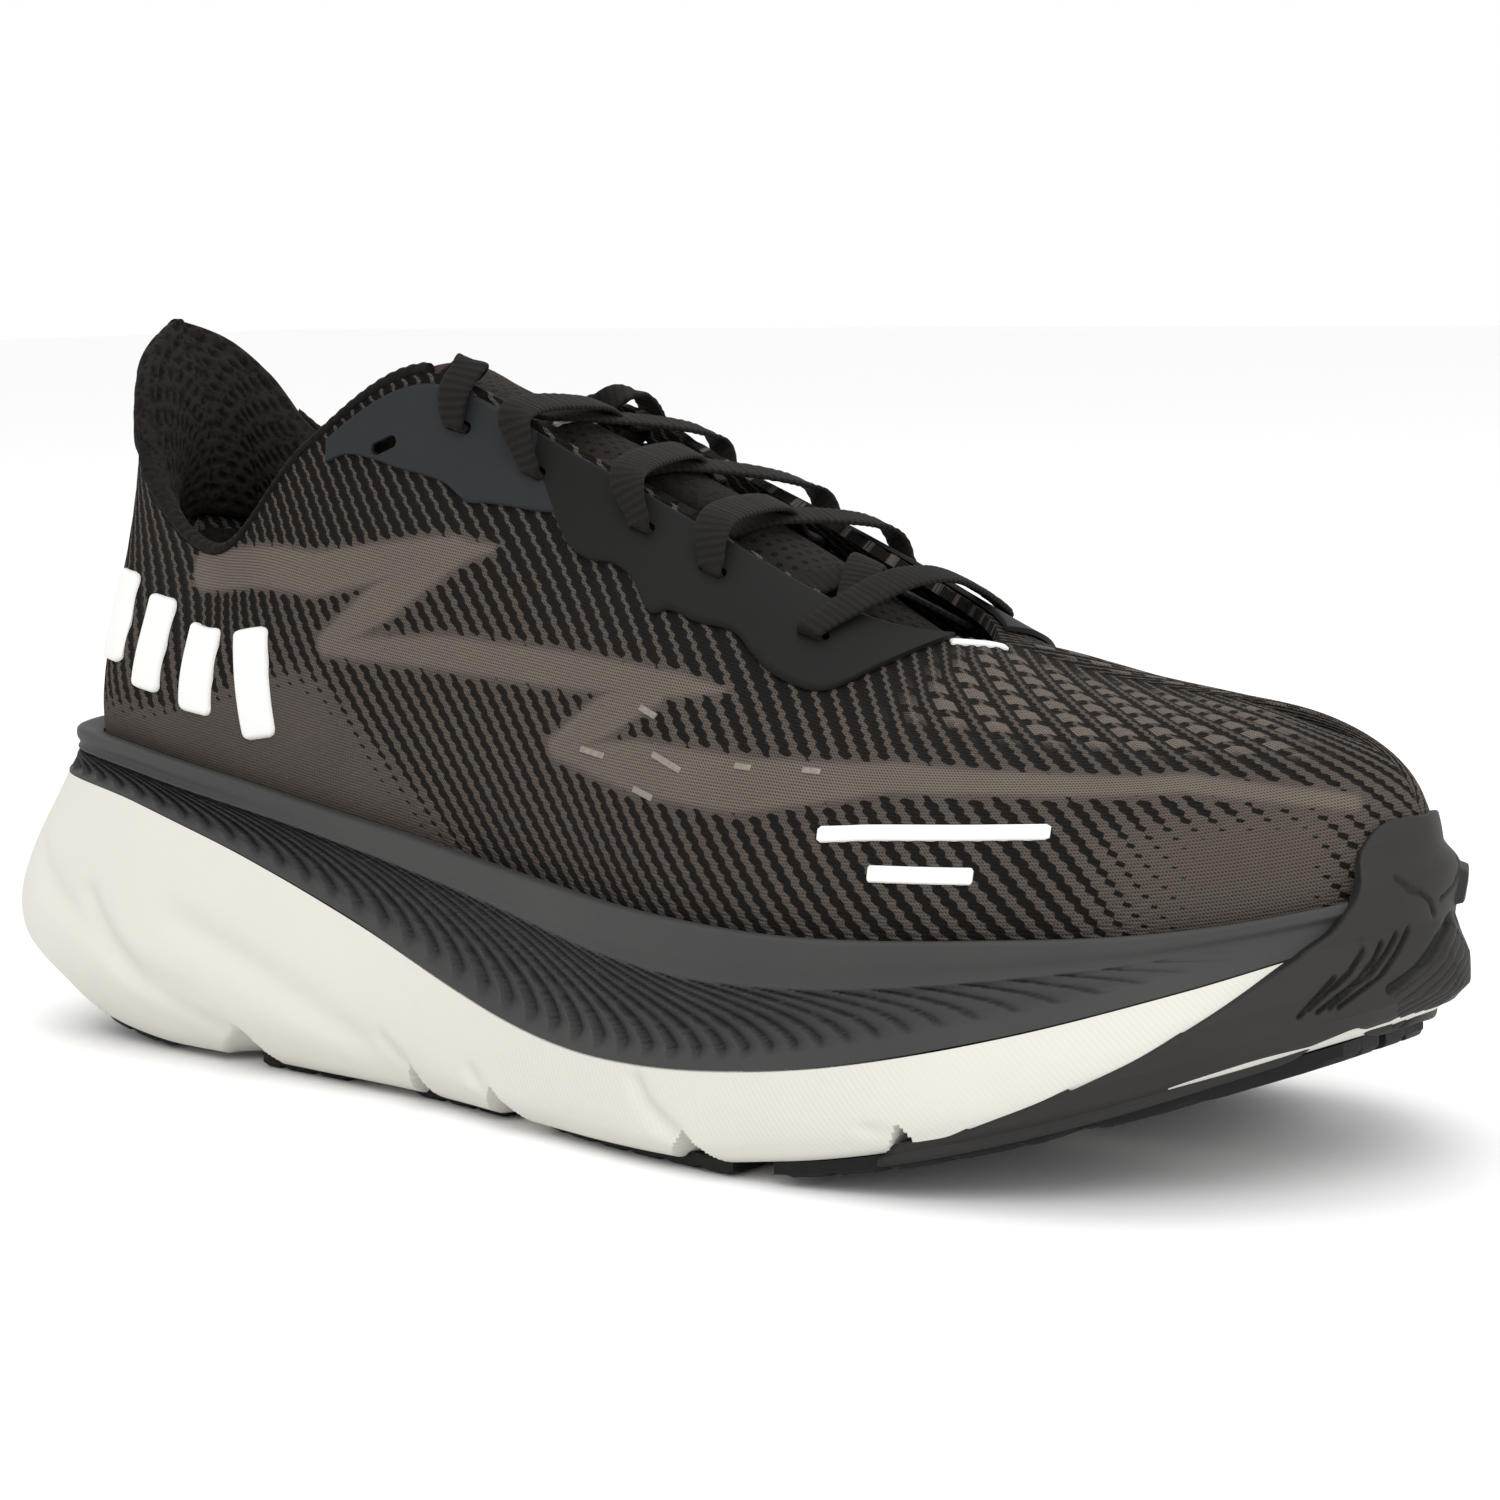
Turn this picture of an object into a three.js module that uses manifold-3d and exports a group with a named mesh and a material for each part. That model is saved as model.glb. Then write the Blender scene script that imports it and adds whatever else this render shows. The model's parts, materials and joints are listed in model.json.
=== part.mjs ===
// Right running shoe: thick foam sole, knitted upper, padded tongue and collar, one flat lace.
// Millimetres. +X runs from heel to toe, -Y is the outer (lateral) side, +Z is up, the sole stands on z = 0.
import * as THREE from 'three';
import Module from 'manifold-3d';

const wasm = await Module();
wasm.setup();

// ---- driving sizes -------------------------------------------------------------------------
const PAD = 3;             // thickness of the rubber outsole pads
const KNIT = 2;            // thickness of the knitted upper
const GAP = 0.4;           // clearance kept between neighbouring pieces
const FLOOR = 6;           // thickness of the carrier under the foot
const LACE_W = 6.4;        // width of the flat lace
const LACE_T = 1.2;        // thickness of the flat lace
const FEATHER_S = 0.15;    // share of the upper that is sunk in the carrier
const AGLET_R = 1.5;       // radius of the lace's tips
const AGLET_L = 14;        // length of the lace's tips

// Footprint at its widest level, from heel to toe, outer side then inner side.
const OUTER = [[0, 0], [1, -24], [14, -41], [42, -46.5], [74, -47], [108, -48], [140, -52.5],
  [168, -58.5], [194, -61], [218, -60], [240, -54.5], [263.5, -43], [281.8, -21.5], [291, 1.5]];
const INNER = [[1, 23], [14, 39], [42, 44], [74, 42.5], [108, 43], [140, 46],
  [168, 50], [194, 53.5], [217, 55], [240, 52.5], [261.5, 43], [280.5, 24]];
const RING = [...OUTER, ...INNER.reverse()];
const N = 26;              // stations round the footprint; station 0 is the heel, 13 the toe

// Top line of the upper on each side: heel tab, collar dip, collar peak, throat down to the vamp.
const TOP_OUTER = [[12, 0, 133], [18, -13.5, 125], [31, -25, 105], [57, -32, 93], [78, -30, 112],
  [104, -25, 126], [136, -21, 113], [166, -20, 99.5], [194, -15, 86], [207, 3, 81]];
const TOP_INNER = [[12, 0, 133], [16.5, 14, 127], [31, 25, 110], [57, 31, 96], [80, 29, 108],
  [104, 25, 119], [136, 22, 108], [166, 20, 96], [194, 15, 85], [207, 3, 81]];
const CREST = [[194, -10, 85], [207, 3, 81], [221, 8, 76.5], [236, 11, 74], [250, 12.5, 72.3],
  [264, 12, 68.5]];
// How each upper column leaves the sole and reaches the top: rise, outward mm, drop, outward share.
const COLUMN = [[.40, -6, .35, -.1], [.40, -2, .35, 0], [.40, 2, .35, 0], [.40, 3, .35, .05],
  [.40, 2.5, .35, .1], [.42, 2, .30, .2], [.44, 2, .22, .35], [.46, 2, .15, .45], [.50, 2, .08, .52],
  [.54, 2, .02, .55], [.58, 2, 0, .6], [.60, 1.5, 0, .66], [.63, 1, 0, .72], [.65, 1, 0, .75]];
// Sole heights and insets along x: [x, value].
const Z_BOTTOM = [[0, 13], [12, 6.5], [28, 2], [50, 0], [190, 0], [205, 1], [222, 3.8], [240, 8],
  [265, 15.5], [298, 27]];
const Z_EDGE = [[0, 50], [30, 47], [60, 41], [100, 31], [140, 23], [175, 19.5], [205, 20.5], [235, 25.5],
  [265, 34], [298, 44]];
const Z_RIM = [[0, 59], [30, 57], [60, 53], [100, 47], [150, 41.5], [200, 39], [240, 40.5], [270, 43],
  [298, 49]];
const Z_FOOT = [[0, 33], [60, 33], [100, 32], [150, 31], [200, 29], [240, 30], [270, 34], [298, 42]];
const IN_GROUND = [[0, -10], [40, -9], [100, -6], [150, -4], [200, -3], [260, -4], [298, -6]];
const IN_BULGE = [[0, 2.6], [40, 2], [100, 0.4], [200, -0.2], [298, -0.4]];
const IN_EDGE = [[0, -8], [40, -5], [100, -3], [200, -1.5], [260, -2], [298, -3]];
const IN_RIM = [[0, -9.5], [40, -7.5], [100, -6], [200, -3.5], [260, -4], [292, -1.5]];
const IN_FEATHER = [[0, -15], [40, -12.5], [100, -11], [200, -8.5], [260, -7.5], [280, -5.5], [292, -3]];
const SUNK_IN = 1.5;       // how much narrower the upper's sunk foot is than its feather line
const PLATEAU_IN = 9;      // how far inside its edge the foam's flat top starts
const BOARD_IN = 6.5;      // inset of the strobel board from the feather line
const SOCKLINER_IN = 8.4;  // inset of the sockliner
// Eyelets from the vamp up as [station, height on the upper (1 = throat edge)]; the sixth is spare.
const EYELETS = [[7.85, 0.84], [7.1, 0.865], [6.55, 0.88], [5.75, 0.88], [5.25, 0.9]];
const SPARE_EYELET = [4.72, 0.87];
// Slanted marks at the heel: [foot station, foot height, top station, top height].
const HEEL_BARS = [[2.12, 0.39, 1.93, 0.68], [2.75, 0.37, 2.52, 0.74], [3.32, 0.32, 3.12, 0.68],
  [3.88, 0.26, 3.68, 0.58]];
const BAR_HALF = 0.17;     // half width of a heel mark, in stations
const FILM = 1.1;          // height of the printed and moulded films above the knit
// Tongue: [x, top z at its middle, half width, drop at its sides, thickness].
const TONGUE = [[213, 73.5, 14, 3, 2.2], [194, 82, 18, 8, 3], [166, 96.5, 22, 13, 3.6],
  [136, 109.5, 23, 16, 4.5], [112, 118.5, 22, 15, 5], [98, 123.5, 20, 11, 6], [91, 126, 17, 6, 5],
  [87.5, 127, 12, 2, 3]];
// Outsole pads: [first station, last station, from, to], the last two as shares of the width.
const PADS = {
  outsole_heel_outer: [0.7, 3.1, 0, 0.36],
  outsole_heel_inner: [0.7, 3.1, 0.64, 1],
  outsole_pod_outer_rear: [3.9, 4.6, 0, 0.3],
  outsole_pod_outer_front: [5.1, 5.9, 0, 0.3],
  outsole_pod_inner: [4.4, 5.8, 0.72, 1],
  outsole_ball_outer: [6.3, 8.1, 0, 0.44],
  outsole_ball_inner: [6.3, 8.1, 0.52, 1],
  outsole_fore_outer: [8.45, 10.5, 0, 0.44],
  outsole_fore_inner: [8.45, 10.5, 0.52, 1],
  outsole_toe_outer: [10.65, 11.4, 0, 0.44],
  outsole_toe_inner: [10.65, 11.4, 0.52, 1],
};

// ---- small maths ---------------------------------------------------------------------------
const V = (p) => new THREE.Vector3(p[0], p[1], p[2] || 0);
const lerp = (a, b, t) => a.clone().lerp(b, t);
const range = (a, b, n) => Array.from({ length: n + 1 }, (_, i) => a + (b - a) * i / n);
const mod = (u) => ((u % N) + N) % N;
const fold = (u) => Math.min(mod(u), N - mod(u));   // station along one side
const ofSide = (side, v) => (side < 0 ? v : N - v);   // -1 is the outer side, 1 the inner one

function spline(a, b, c, d, t) {
  const bend = 2 * a - 5 * b + 4 * c - d;
  const twist = 3 * b - a - 3 * c + d;
  return 0.5 * (2 * b + (c - a) * t + bend * t ** 2 + twist * t ** 3);
}
function along(table, w, closed = false) {
  const n = table.length;
  const at = (i) => table[closed ? ((i % n) + n) % n : Math.min(Math.max(i, 0), n - 1)];
  const clamped = closed ? ((w % n) + n) % n : Math.min(Math.max(w, 0), n - 1);
  const i = closed ? Math.floor(clamped) : Math.min(Math.floor(clamped), n - 2);
  return table[0].map((_, k) => spline(at(i - 1)[k], at(i)[k], at(i + 1)[k], at(i + 2)[k], clamped - i));
}
function profile(table, x) {
  const last = table.length - 1;
  const c = Math.min(Math.max(x, table[0][0]), table[last][0]);
  let i = 0;
  while (i < last - 1 && c > table[i + 1][0]) i += 1;
  const slope = (k) => {
    const a = table[Math.max(k - 1, 0)];
    const b = table[Math.min(k + 1, last)];
    return (b[1] - a[1]) / (b[0] - a[0]);
  };
  const h = table[i + 1][0] - table[i][0];
  const t = (c - table[i][0]) / h;
  return (2 * t ** 3 - 3 * t * t + 1) * table[i][1] + (t ** 3 - 2 * t * t + t) * h * slope(i)
    + (3 * t * t - 2 * t ** 3) * table[i + 1][1] + (t ** 3 - t * t) * h * slope(i + 1);
}
const bottomZ = (x) => Math.max(0, profile(Z_BOTTOM, x));

// ---- the shoe's surfaces -------------------------------------------------------------------
function footprint(u, inset, z) {
  const p = along(RING, u, true);
  const a = along(RING, u - 0.02, true);
  const b = along(RING, u + 0.02, true);
  const n = new THREE.Vector2(b[1] - a[1], a[0] - b[0]).normalize();
  const off = typeof inset === 'function' ? inset(p[0]) : inset;
  const x = p[0] + n.x * off;
  return new THREE.Vector3(x, p[1] + n.y * off, typeof z === 'function' ? z(x) : z);
}
const inFeather = (x) => profile(IN_FEATHER, x);
const inEdge = (x) => profile(IN_EDGE, x);
const inRim = (x) => profile(IN_RIM, x);
const inBulge = (x) => profile(IN_BULGE, x);
const zRim = (x) => profile(Z_RIM, x);
const zEdge = (x) => profile(Z_EDGE, x);
const zFoot = (x) => profile(Z_FOOT, x);
const feather = (u, more = 0) => footprint(u, (x) => inFeather(x) + more, zRim);
function topLine(u) {
  const v = fold(u);
  if (v > 9) return V(along(CREST, v - 8));
  return V(along(mod(u) <= N / 2 ? TOP_OUTER : TOP_INNER, v));
}
function outerSkin(u, s) {
  const foot = feather(u);
  if (s < FEATHER_S) {
    const sunk = footprint(u, (x) => inFeather(x) - SUNK_IN, (x) => zFoot(x) + GAP);
    return lerp(sunk, foot, s / FEATHER_S);
  }
  const top = topLine(u);
  const out = footprint(u, 1, 0).sub(footprint(u, 0, 0));
  const c = along(COLUMN, fold(u));
  const rise = top.z - foot.z;
  const back = foot.clone().sub(top).setZ(0);
  const p1 = foot.clone().add(out.multiplyScalar(c[1])).setZ(foot.z + c[0] * rise);
  const p2 = top.clone().add(back.multiplyScalar(c[3])).setZ(top.z - c[2] * rise);
  const t = (s - FEATHER_S) / (1 - FEATHER_S);
  const r = 1 - t;
  return foot.clone().multiplyScalar(r ** 3).add(p1.multiplyScalar(3 * r * r * t))
    .add(p2.multiplyScalar(3 * r * t * t)).add(top.clone().multiplyScalar(t ** 3));
}
function skinNormal(u, s) {
  const e = 0.02;
  const hi = Math.min(s + e, 1);
  const lo = hi - 2 * e;
  const du = outerSkin(u + e, s).sub(outerSkin(u - e, s));
  return du.cross(outerSkin(u, hi).sub(outerSkin(u, lo))).normalize();
}
function skin(u, s, offset) {
  const n = skinNormal(u, s);
  if (s > 0.999 && fold(u) >= 9) n.add(skinNormal(N - mod(u), s)).normalize();
  return outerSkin(u, s).addScaledVector(n, offset);
}

// ---- solids from grids ---------------------------------------------------------------------
function toGeometry(triangles) {
  const index = [];
  const verts = [];
  const seen = new Map();
  const id = (p) => {
    const key = `${Math.round(p.x * 1e3)},${Math.round(p.y * 1e3)},${Math.round(p.z * 1e3)}`;
    if (!seen.has(key)) {
      seen.set(key, verts.length / 3);
      verts.push(p.x, p.y, p.z);
    }
    return seen.get(key);
  };
  let volume = 0;
  for (const tri of triangles) {
    const k = tri.map(id);
    if (k[0] === k[1] || k[1] === k[2] || k[0] === k[2]) continue;
    volume += tri[0].dot(tri[1].clone().cross(tri[2]));
    index.push(k);
  }
  const g = new THREE.BufferGeometry();
  g.setAttribute('position', new THREE.Float32BufferAttribute(verts, 3));
  g.setIndex(index.flatMap((k) => (volume < 0 ? [k[0], k[2], k[1]] : k)));
  return g;
}
const quad = (a, b, c, d) => [[a, b, c], [a, c, d]];

// A thin closed piece between two grids of points; `ring` joins the last column to the first,
// and `sealed(i)` tells where the upper edges of two columns meet and need no rim.
function sheet(outer, inner, { ring = false, sealed = () => false } = {}) {
  const out = [];
  const m = outer[0].length - 1;
  const cols = outer.length;
  const last = cols - 1;
  for (let i = 0; i < (ring ? cols : cols - 1); i += 1) {
    const k = (i + 1) % cols;
    for (let j = 0; j < m; j += 1) {
      out.push(...quad(outer[i][j], outer[k][j], outer[k][j + 1], outer[i][j + 1]));
      out.push(...quad(inner[i][j], inner[i][j + 1], inner[k][j + 1], inner[k][j]));
    }
    out.push(...quad(outer[i][0], inner[i][0], inner[k][0], outer[k][0]));
    if (!sealed(i)) out.push(...quad(outer[i][m], outer[k][m], inner[k][m], inner[i][m]));
  }
  if (!ring) {
    for (let j = 0; j < m; j += 1) {
      out.push(...quad(outer[0][j], outer[0][j + 1], inner[0][j + 1], inner[0][j]));
      out.push(...quad(outer[last][j], inner[last][j], inner[last][j + 1], outer[last][j + 1]));
    }
  }
  return toGeometry(out);
}
// A solid skinned over closed cross-sections; the end sections are capped by a fan.
function loft(sections) {
  const out = [];
  const m = sections[0].length;
  for (let i = 0; i < sections.length - 1; i += 1) {
    for (let j = 0; j < m; j += 1) {
      const k = (j + 1) % m;
      out.push(...quad(sections[i][j], sections[i + 1][j], sections[i + 1][k], sections[i][k]));
    }
  }
  for (const [s, flip] of [[sections[0], false], [sections.at(-1), true]]) {
    for (let j = 1; j < m - 1; j += 1) {
      out.push(flip ? [s[0], s[j + 1], s[j]] : [s[0], s[j], s[j + 1]]);
    }
  }
  return toGeometry(out);
}
// A slab over the whole footprint. `rows(u)` gives one side's points from bottom middle to top middle;
// the two sides share their middle points, and at the heel and the toe they are the same.
function footSlab(rows) {
  const sides = (v) => {
    const a = rows(v);
    const n = a.length - 1;
    if (v === 0 || v === N / 2) {
      a[0] = a[1].clone();
      a[n] = a[n - 1].clone();
      return [a, a];
    }
    const b = rows(N - v);
    for (const e of [0, n]) {
      a[e].lerp(b[e], 0.5);
      b[e].copy(a[e]);
    }
    return [a, b];
  };
  const list = range(0, N / 2, N).map(sides);
  const out = [];
  for (let i = 0; i < list.length - 1; i += 1) {
    const [a, b] = list[i];
    const [c, d] = list[i + 1];
    for (let j = 0; j < a.length - 1; j += 1) {
      out.push(...quad(a[j], c[j], c[j + 1], a[j + 1]));
      out.push(...quad(b[j], b[j + 1], d[j + 1], d[j]));
    }
  }
  return toGeometry(out);
}
// A patch of even thickness lying on the upper between stations u0..u1 and heights s0..s1.
function patch(u0, u1, s0, s1, off0, off1, nu = 6, ns = 3) {
  const low = typeof s0 === 'function' ? s0 : () => s0;
  const high = typeof s1 === 'function' ? s1 : () => s1;
  const row = (u, off) => range(low(u), high(u), ns).map((s) => skin(u, s, off));
  const grid = (off) => range(u0, u1, nu).map((u) => row(u, off));
  return sheet(grid(off1), grid(off0));
}
// A straight bar lying on the upper from (ua, sa) to (ub, sb); `w` is its half width in stations.
function slantedBar(ua, sa, ub, sb, w) {
  const point = (d, t, off) => skin(ua + (ub - ua) * t + d, sa + (sb - sa) * t, off);
  const grid = (off) => [-w, w].map((d) => range(0, 1, 5).map((t) => point(d, t, off)));
  return sheet(grid(FILM), grid(GAP));
}
// A long thin dash lying on the upper from (ua, sa) to (ub, sb).
function dash(ua, ub, sa, sb) {
  const point = (d, t, off) => skin(ua + (ub - ua) * t, sa + (sb - sa) * t + d, off);
  const grid = (off) => range(0, 1, 6).map((t) => [0, 0.02].map((d) => point(d, t, off)));
  return sheet(grid(FILM), grid(GAP));
}

// ---- sole ----------------------------------------------------------------------------------
const edge = (u, dz = 0) => footprint(u, inEdge, (x) => zEdge(x) + dz);
const plateau = (u, share, dz) => {
  const p = footprint(u, (x) => inEdge(x) - PLATEAU_IN, (x) => zFoot(x) - FLOOR + dz);
  return new THREE.Vector3(p.x, p.y * share, p.z);
};
function midsoleRows(u) {
  const level = (f, inset) => footprint(u, inset, (x) => {
    const z0 = bottomZ(x) + PAD;
    return z0 + f * (zEdge(x) - z0);
  });
  const ground = (k) => (x) => profile(IN_GROUND, x) * k;
  const foot = level(0, ground(1));
  const shoulder = (x) => inBulge(x) * 0.6 + inEdge(x) * 0.12;
  return [foot.clone().setY(0), foot.clone().setY(foot.y * 0.5), foot, level(0.1, ground(0.5)),
    level(0.3, inBulge), level(0.6, shoulder), edge(u), plateau(u, 1, 0), plateau(u, 0.5, 0),
    plateau(u, 0, 0)];
}
function carrierRows(u) {
  const gap = 2 * GAP;
  const rim = footprint(u, inRim, zRim);
  const waist = footprint(u, (x) => inRim(x) - 0.6, (x) => 0.75 * zRim(x) + 0.25 * zEdge(x));
  const well = footprint(u, (x) => inFeather(x) - SUNK_IN + GAP, zFoot);
  return [well.clone().setY(0), well.clone().setY(well.y * 0.5), well, feather(u, GAP), rim, waist,
    edge(u, gap), plateau(u, 1, gap), plateau(u, 0.5, gap), plateau(u, 0, gap)];
}
function insideBoard(z0, z1, inset) {
  return footSlab((u) => {
    const at = (dz) => footprint(u, (x) => inFeather(x) - inset, (x) => zFoot(x) + dz);
    const inner = (p, share) => p.clone().setY(p.y * share);
    const a = at(z0);
    const b = at(z1);
    return [inner(a, 0), inner(a, 0.5), a, b, inner(b, 0.5), inner(b, 0)];
  });
}
// One rubber pad under the foam: stations v0..v1, from share y0 to y1 of the width (0 = outer side).
function pad(v0, v1, y0, y1) {
  const inset = (x) => profile(IN_GROUND, x) - GAP;
  const steps = Math.max(2, Math.round((v1 - v0) * 2));
  const grid = (dz) => range(v0, v1, steps).map((v) => {
    const a = footprint(v, inset, bottomZ);
    const b = footprint(N - v, inset, bottomZ);
    return range(y0, y1, 3).map((t) => lerp(a, b, t)).map((p) => p.setZ(p.z + dz));
  });
  return sheet(grid(0), grid(PAD - 0.5));
}
function toeBumper() {
  const level = (u, f, out) => footprint(u, out, (x) => {
    const z0 = bottomZ(x);
    return z0 + f * (zRim(x) - z0);
  });
  const column = (u, lift) => [footprint(u, -13, (x) => bottomZ(x) + 2.2 - 1.2 * lift),
    level(u, 0.02, -5 + lift), level(u, 0.2, 0.4 + lift), level(u, 0.55, 0.2 + lift),
    level(u, 0.85, -0.6 + lift), level(u, 1.02, -0.9 + lift), skin(u, 0.24, 0.6 + lift),
    skin(u, 0.38, 0.5 + 0.7 * lift)];
  const grid = (lift) => range(11.95, 14.05, 8).map((u) => column(u, lift));
  return sheet(grid(1.4), grid(0.3));
}

// ---- upper ---------------------------------------------------------------------------------
const ROUND = range(0, N - 0.5, 51);
const ROWS = [0, FEATHER_S, 0.25, 0.35, 0.46, 0.58, 0.7, 0.8, 0.9, 1];
function eyeletCutters() {
  const cut = (u, s) => {
    const n = skinNormal(u, s);
    const w = outerSkin(u + 0.05, s).sub(outerSkin(u - 0.05, s)).normalize();
    const g = new THREE.BoxGeometry(6.2, 4, 14);
    g.applyMatrix4(new THREE.Matrix4().makeBasis(w, n.clone().cross(w), n));
    const p = outerSkin(u, s);
    return g.translate(p.x, p.y, p.z);
  };
  return [...EYELETS, SPARE_EYELET].flatMap(([v, s]) => [cut(v, s), cut(N - v, s)]);
}
function toManifold(geometry) {
  const p = geometry.attributes.position.array;
  const ids = geometry.index.array;
  const tris = [];
  for (let i = 0; i < ids.length; i += 3) {
    tris.push([0, 1, 2].map((k) => new THREE.Vector3().fromArray(p, ids[i + k] * 3)));
  }
  const welded = toGeometry(tris);
  const vertProperties = new Float32Array(welded.attributes.position.array);
  const triVerts = new Uint32Array(welded.index.array);
  return new wasm.Manifold(new wasm.Mesh({ numProp: 3, vertProperties, triVerts }));
}
function withEyelets(geometry) {
  let body = toManifold(geometry);
  for (const c of eyeletCutters()) body = body.subtract(toManifold(c));
  const mesh = body.getMesh();
  const g = new THREE.BufferGeometry();
  g.setAttribute('position', new THREE.Float32BufferAttribute(Float32Array.from(mesh.vertProperties), 3));
  g.setIndex(Array.from(mesh.triVerts));
  return g;
}
function knitUpper() {
  const grid = (off) => ROUND.map((u) => ROWS.map((s) => skin(u, s, off)));
  const meets = (i) => Math.min(fold(ROUND[i]), fold(ROUND[(i + 1) % ROUND.length])) >= 9;
  return withEyelets(sheet(grid(0), grid(-KNIT), { ring: true, sealed: meets }));
}
function quarterLining() {
  return patch(-10.4, 10.4, 0.1, 0.54, -5.4, -4.4, 40, 5);
}
const heelCounter = () => patch(-3.2, 3.2, 0.12, 0.52, -4, -2.5, 12, 4);
const toePuff = () => patch(10.9, 15.1, 0.14, 0.72, -3.6, -2.5, 8, 4);
function collarPad() {
  const share = (s) => Math.min(1, Math.max(0, (s - 0.57) / 0.43));
  const thick = (s) => 2.5 + 6 * Math.sin(Math.PI * share(s)) ** 0.6;
  const us = range(-4.1, 4.1, 20);
  const ss = [0.58, 0.66, 0.74, 0.82, 0.9, 0.97];
  const grid = (f) => us.map((u) => ss.map((s) => skin(u, s, f(s))));
  return sheet(grid(() => -2.5), grid((s) => -Math.max(3.2, thick(s))));
}
function collarBinding() {
  const sections = range(-5, 5, 20).map((u) => {
    const n = skinNormal(u, 1);
    const top = outerSkin(u, 1);
    const up = top.clone().sub(outerSkin(u, 0.97)).normalize();
    const at = (a, b) => top.clone().addScaledVector(n, a).addScaledVector(up, b);
    return [at(0.3, GAP), at(0.1, 1.8), at(-1.4, 2.6), at(-3.1, 1.8), at(-3.3, GAP)];
  });
  return loft(sections);
}
function eyestay(side, v0, v1) {
  const low = (u) => 0.8 - 0.03 * Math.sin(fold(u) * 6);
  return withEyelets(patch(ofSide(side, v0), ofSide(side, v1), low, 0.975, GAP, FILM, 14, 3));
}

// ---- tongue --------------------------------------------------------------------------------
function tonguePoint(w, across, depth) {
  const [x, z, half, drop, thick] = along(TONGUE, w);
  const a = along(TONGUE, w - 0.05);
  const b = along(TONGUE, w + 0.05);
  const n = new THREE.Vector3(a[1] - b[1], 0, b[0] - a[0]).normalize();
  if (n.z < 0) n.negate();
  const p = new THREE.Vector3(x, across * half, z - drop * across * across);
  return p.addScaledVector(n, -depth * thick);
}
function tongueBody() {
  const top = (w) => range(-1, 1, 6).map((y) => tonguePoint(w, y, 0));
  const under = (w) => range(1, -1, 6).map((y) => tonguePoint(w, y, 1));
  return loft(range(0, 7, 21).map((w) => [...top(w), ...under(w)]));
}
function tonguePatch(w0, w1, y0, y1, lift, thick) {
  const point = (w, y, h) => {
    const p = tonguePoint(w, y, 0);
    const n = p.clone().sub(tonguePoint(w, y, 1)).normalize();
    return p.addScaledVector(n, h);
  };
  const grid = (h) => range(w0, w1, 2).map((w) => range(y0, y1, 2).map((y) => point(w, y, h)));
  return sheet(grid(lift + thick), grid(lift));
}

// ---- lace ----------------------------------------------------------------------------------
// The lace is a ribbon through a list of [point, width axis, width]; it is flat on the shoe.
const UNDER = -3.8;        // depth of the lace behind the edge of the throat
const OVER = 2.4;          // height of the lace above it
const HIDDEN_W = 5.4;      // width of the lace where it is squeezed behind the edge
const SQUEEZED_W = 4.8;    // and close to an eyelet
const EYELET_W = 4.4;      // and in the eyelet
const throatPoint = (u, s, off) => outerSkin(u, s).addScaledVector(skinNormal(u, s), off);
function throatAxis(u) {
  const axis = outerSkin(u + 0.1, 0.9).sub(outerSkin(u - 0.1, 0.9)).normalize();
  return mod(u) <= N / 2 ? axis : axis.negate();
}
function middle(v, high) {
  const x = (topLine(v).x + topLine(N - v).x) / 2;
  let w = 0;
  while (w < 7 && along(TONGUE, w)[0] > x) w += 0.02;
  return tonguePoint(w, 0, 0).add(new THREE.Vector3(0.3, 0, 1).setLength(high));
}
// From eyelet i on one side, over its edge and the tongue, under the far edge and up eyelet j.
function crossing(side, i, j, high) {
  const [vi] = EYELETS[i];
  const [vj, sj] = EYELETS[j];
  const to = ofSide(-side, vj);
  const nearEdge = ofSide(side, vi * 0.8 + vj * 0.2);
  const farEdge = ofSide(-side, vi * 0.25 + vj * 0.75);
  const a = throatAxis(ofSide(side, vi));
  const b = throatAxis(to);
  const c = a.clone().add(b).normalize();
  const top = middle((vi + vj) / 2, high);
  const under = throatPoint(farEdge, 0.985, UNDER - 1);
  const dip = lerp(top, under, 0.62).add(new THREE.Vector3(0, 0, -1.2));
  return [[throatPoint(nearEdge, 1, OVER + 1), a, LACE_W], [top, c, LACE_W], [dip, b, LACE_W],
    [under, b, HIDDEN_W], [throatPoint(to, sj + 0.03, UNDER - 0.2), b, SQUEEZED_W]];
}
function throughEyelet(side, i, upwards) {
  const [v, s] = EYELETS[i];
  const u = ofSide(side, v);
  const a = throatAxis(u);
  const list = [UNDER + 0.2, -0.4, OVER].map((off) => [throatPoint(u, s, off), a, EYELET_W]);
  return upwards ? list : list.reverse();
}
function halfLace(side) {
  const list = throughEyelet(side, 0, false);
  let here = side;
  const first = ofSide(side, EYELETS[0][0]);
  list.push([throatPoint(first, 0.985, UNDER - 0.2), throatAxis(first), HIDDEN_W]);
  for (let i = 0; i < EYELETS.length - 1; i += 1) {
    const run = crossing(here, i, i + 1, here < 0 ? 4.3 : 1.9);
    list.push(...(i === 0 ? run.slice(1) : run), ...throughEyelet(-here, i + 1, true));
    here = -here;
  }
  const lastV = EYELETS.at(-1)[0];
  const end = ofSide(here, lastV);
  const b = throatAxis(end);
  list.push([throatPoint(end, 0.97, OVER + 0.6), b, LACE_W]);
  // Over the throat's edge, then down between the tongue and the upper.
  const rim = topLine(end);
  const inward = -Math.sign(rim.y);
  list.push([rim.clone().add(new THREE.Vector3(-1, inward * 1.2, 4)), b, LACE_W]);
  list.push([rim.clone().add(new THREE.Vector3(-6, inward * 3.6, 0.8)), b, HIDDEN_W]);
  for (const [back, s, off] of [[0.5, 0.93, -4.5], [0.55, 0.84, -5.6], [0.6, 0.74, -7.2]]) {
    list.push([throatPoint(ofSide(here, lastV - back), s, off), b, SQUEEZED_W]);
  }
  return list;
}
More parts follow.
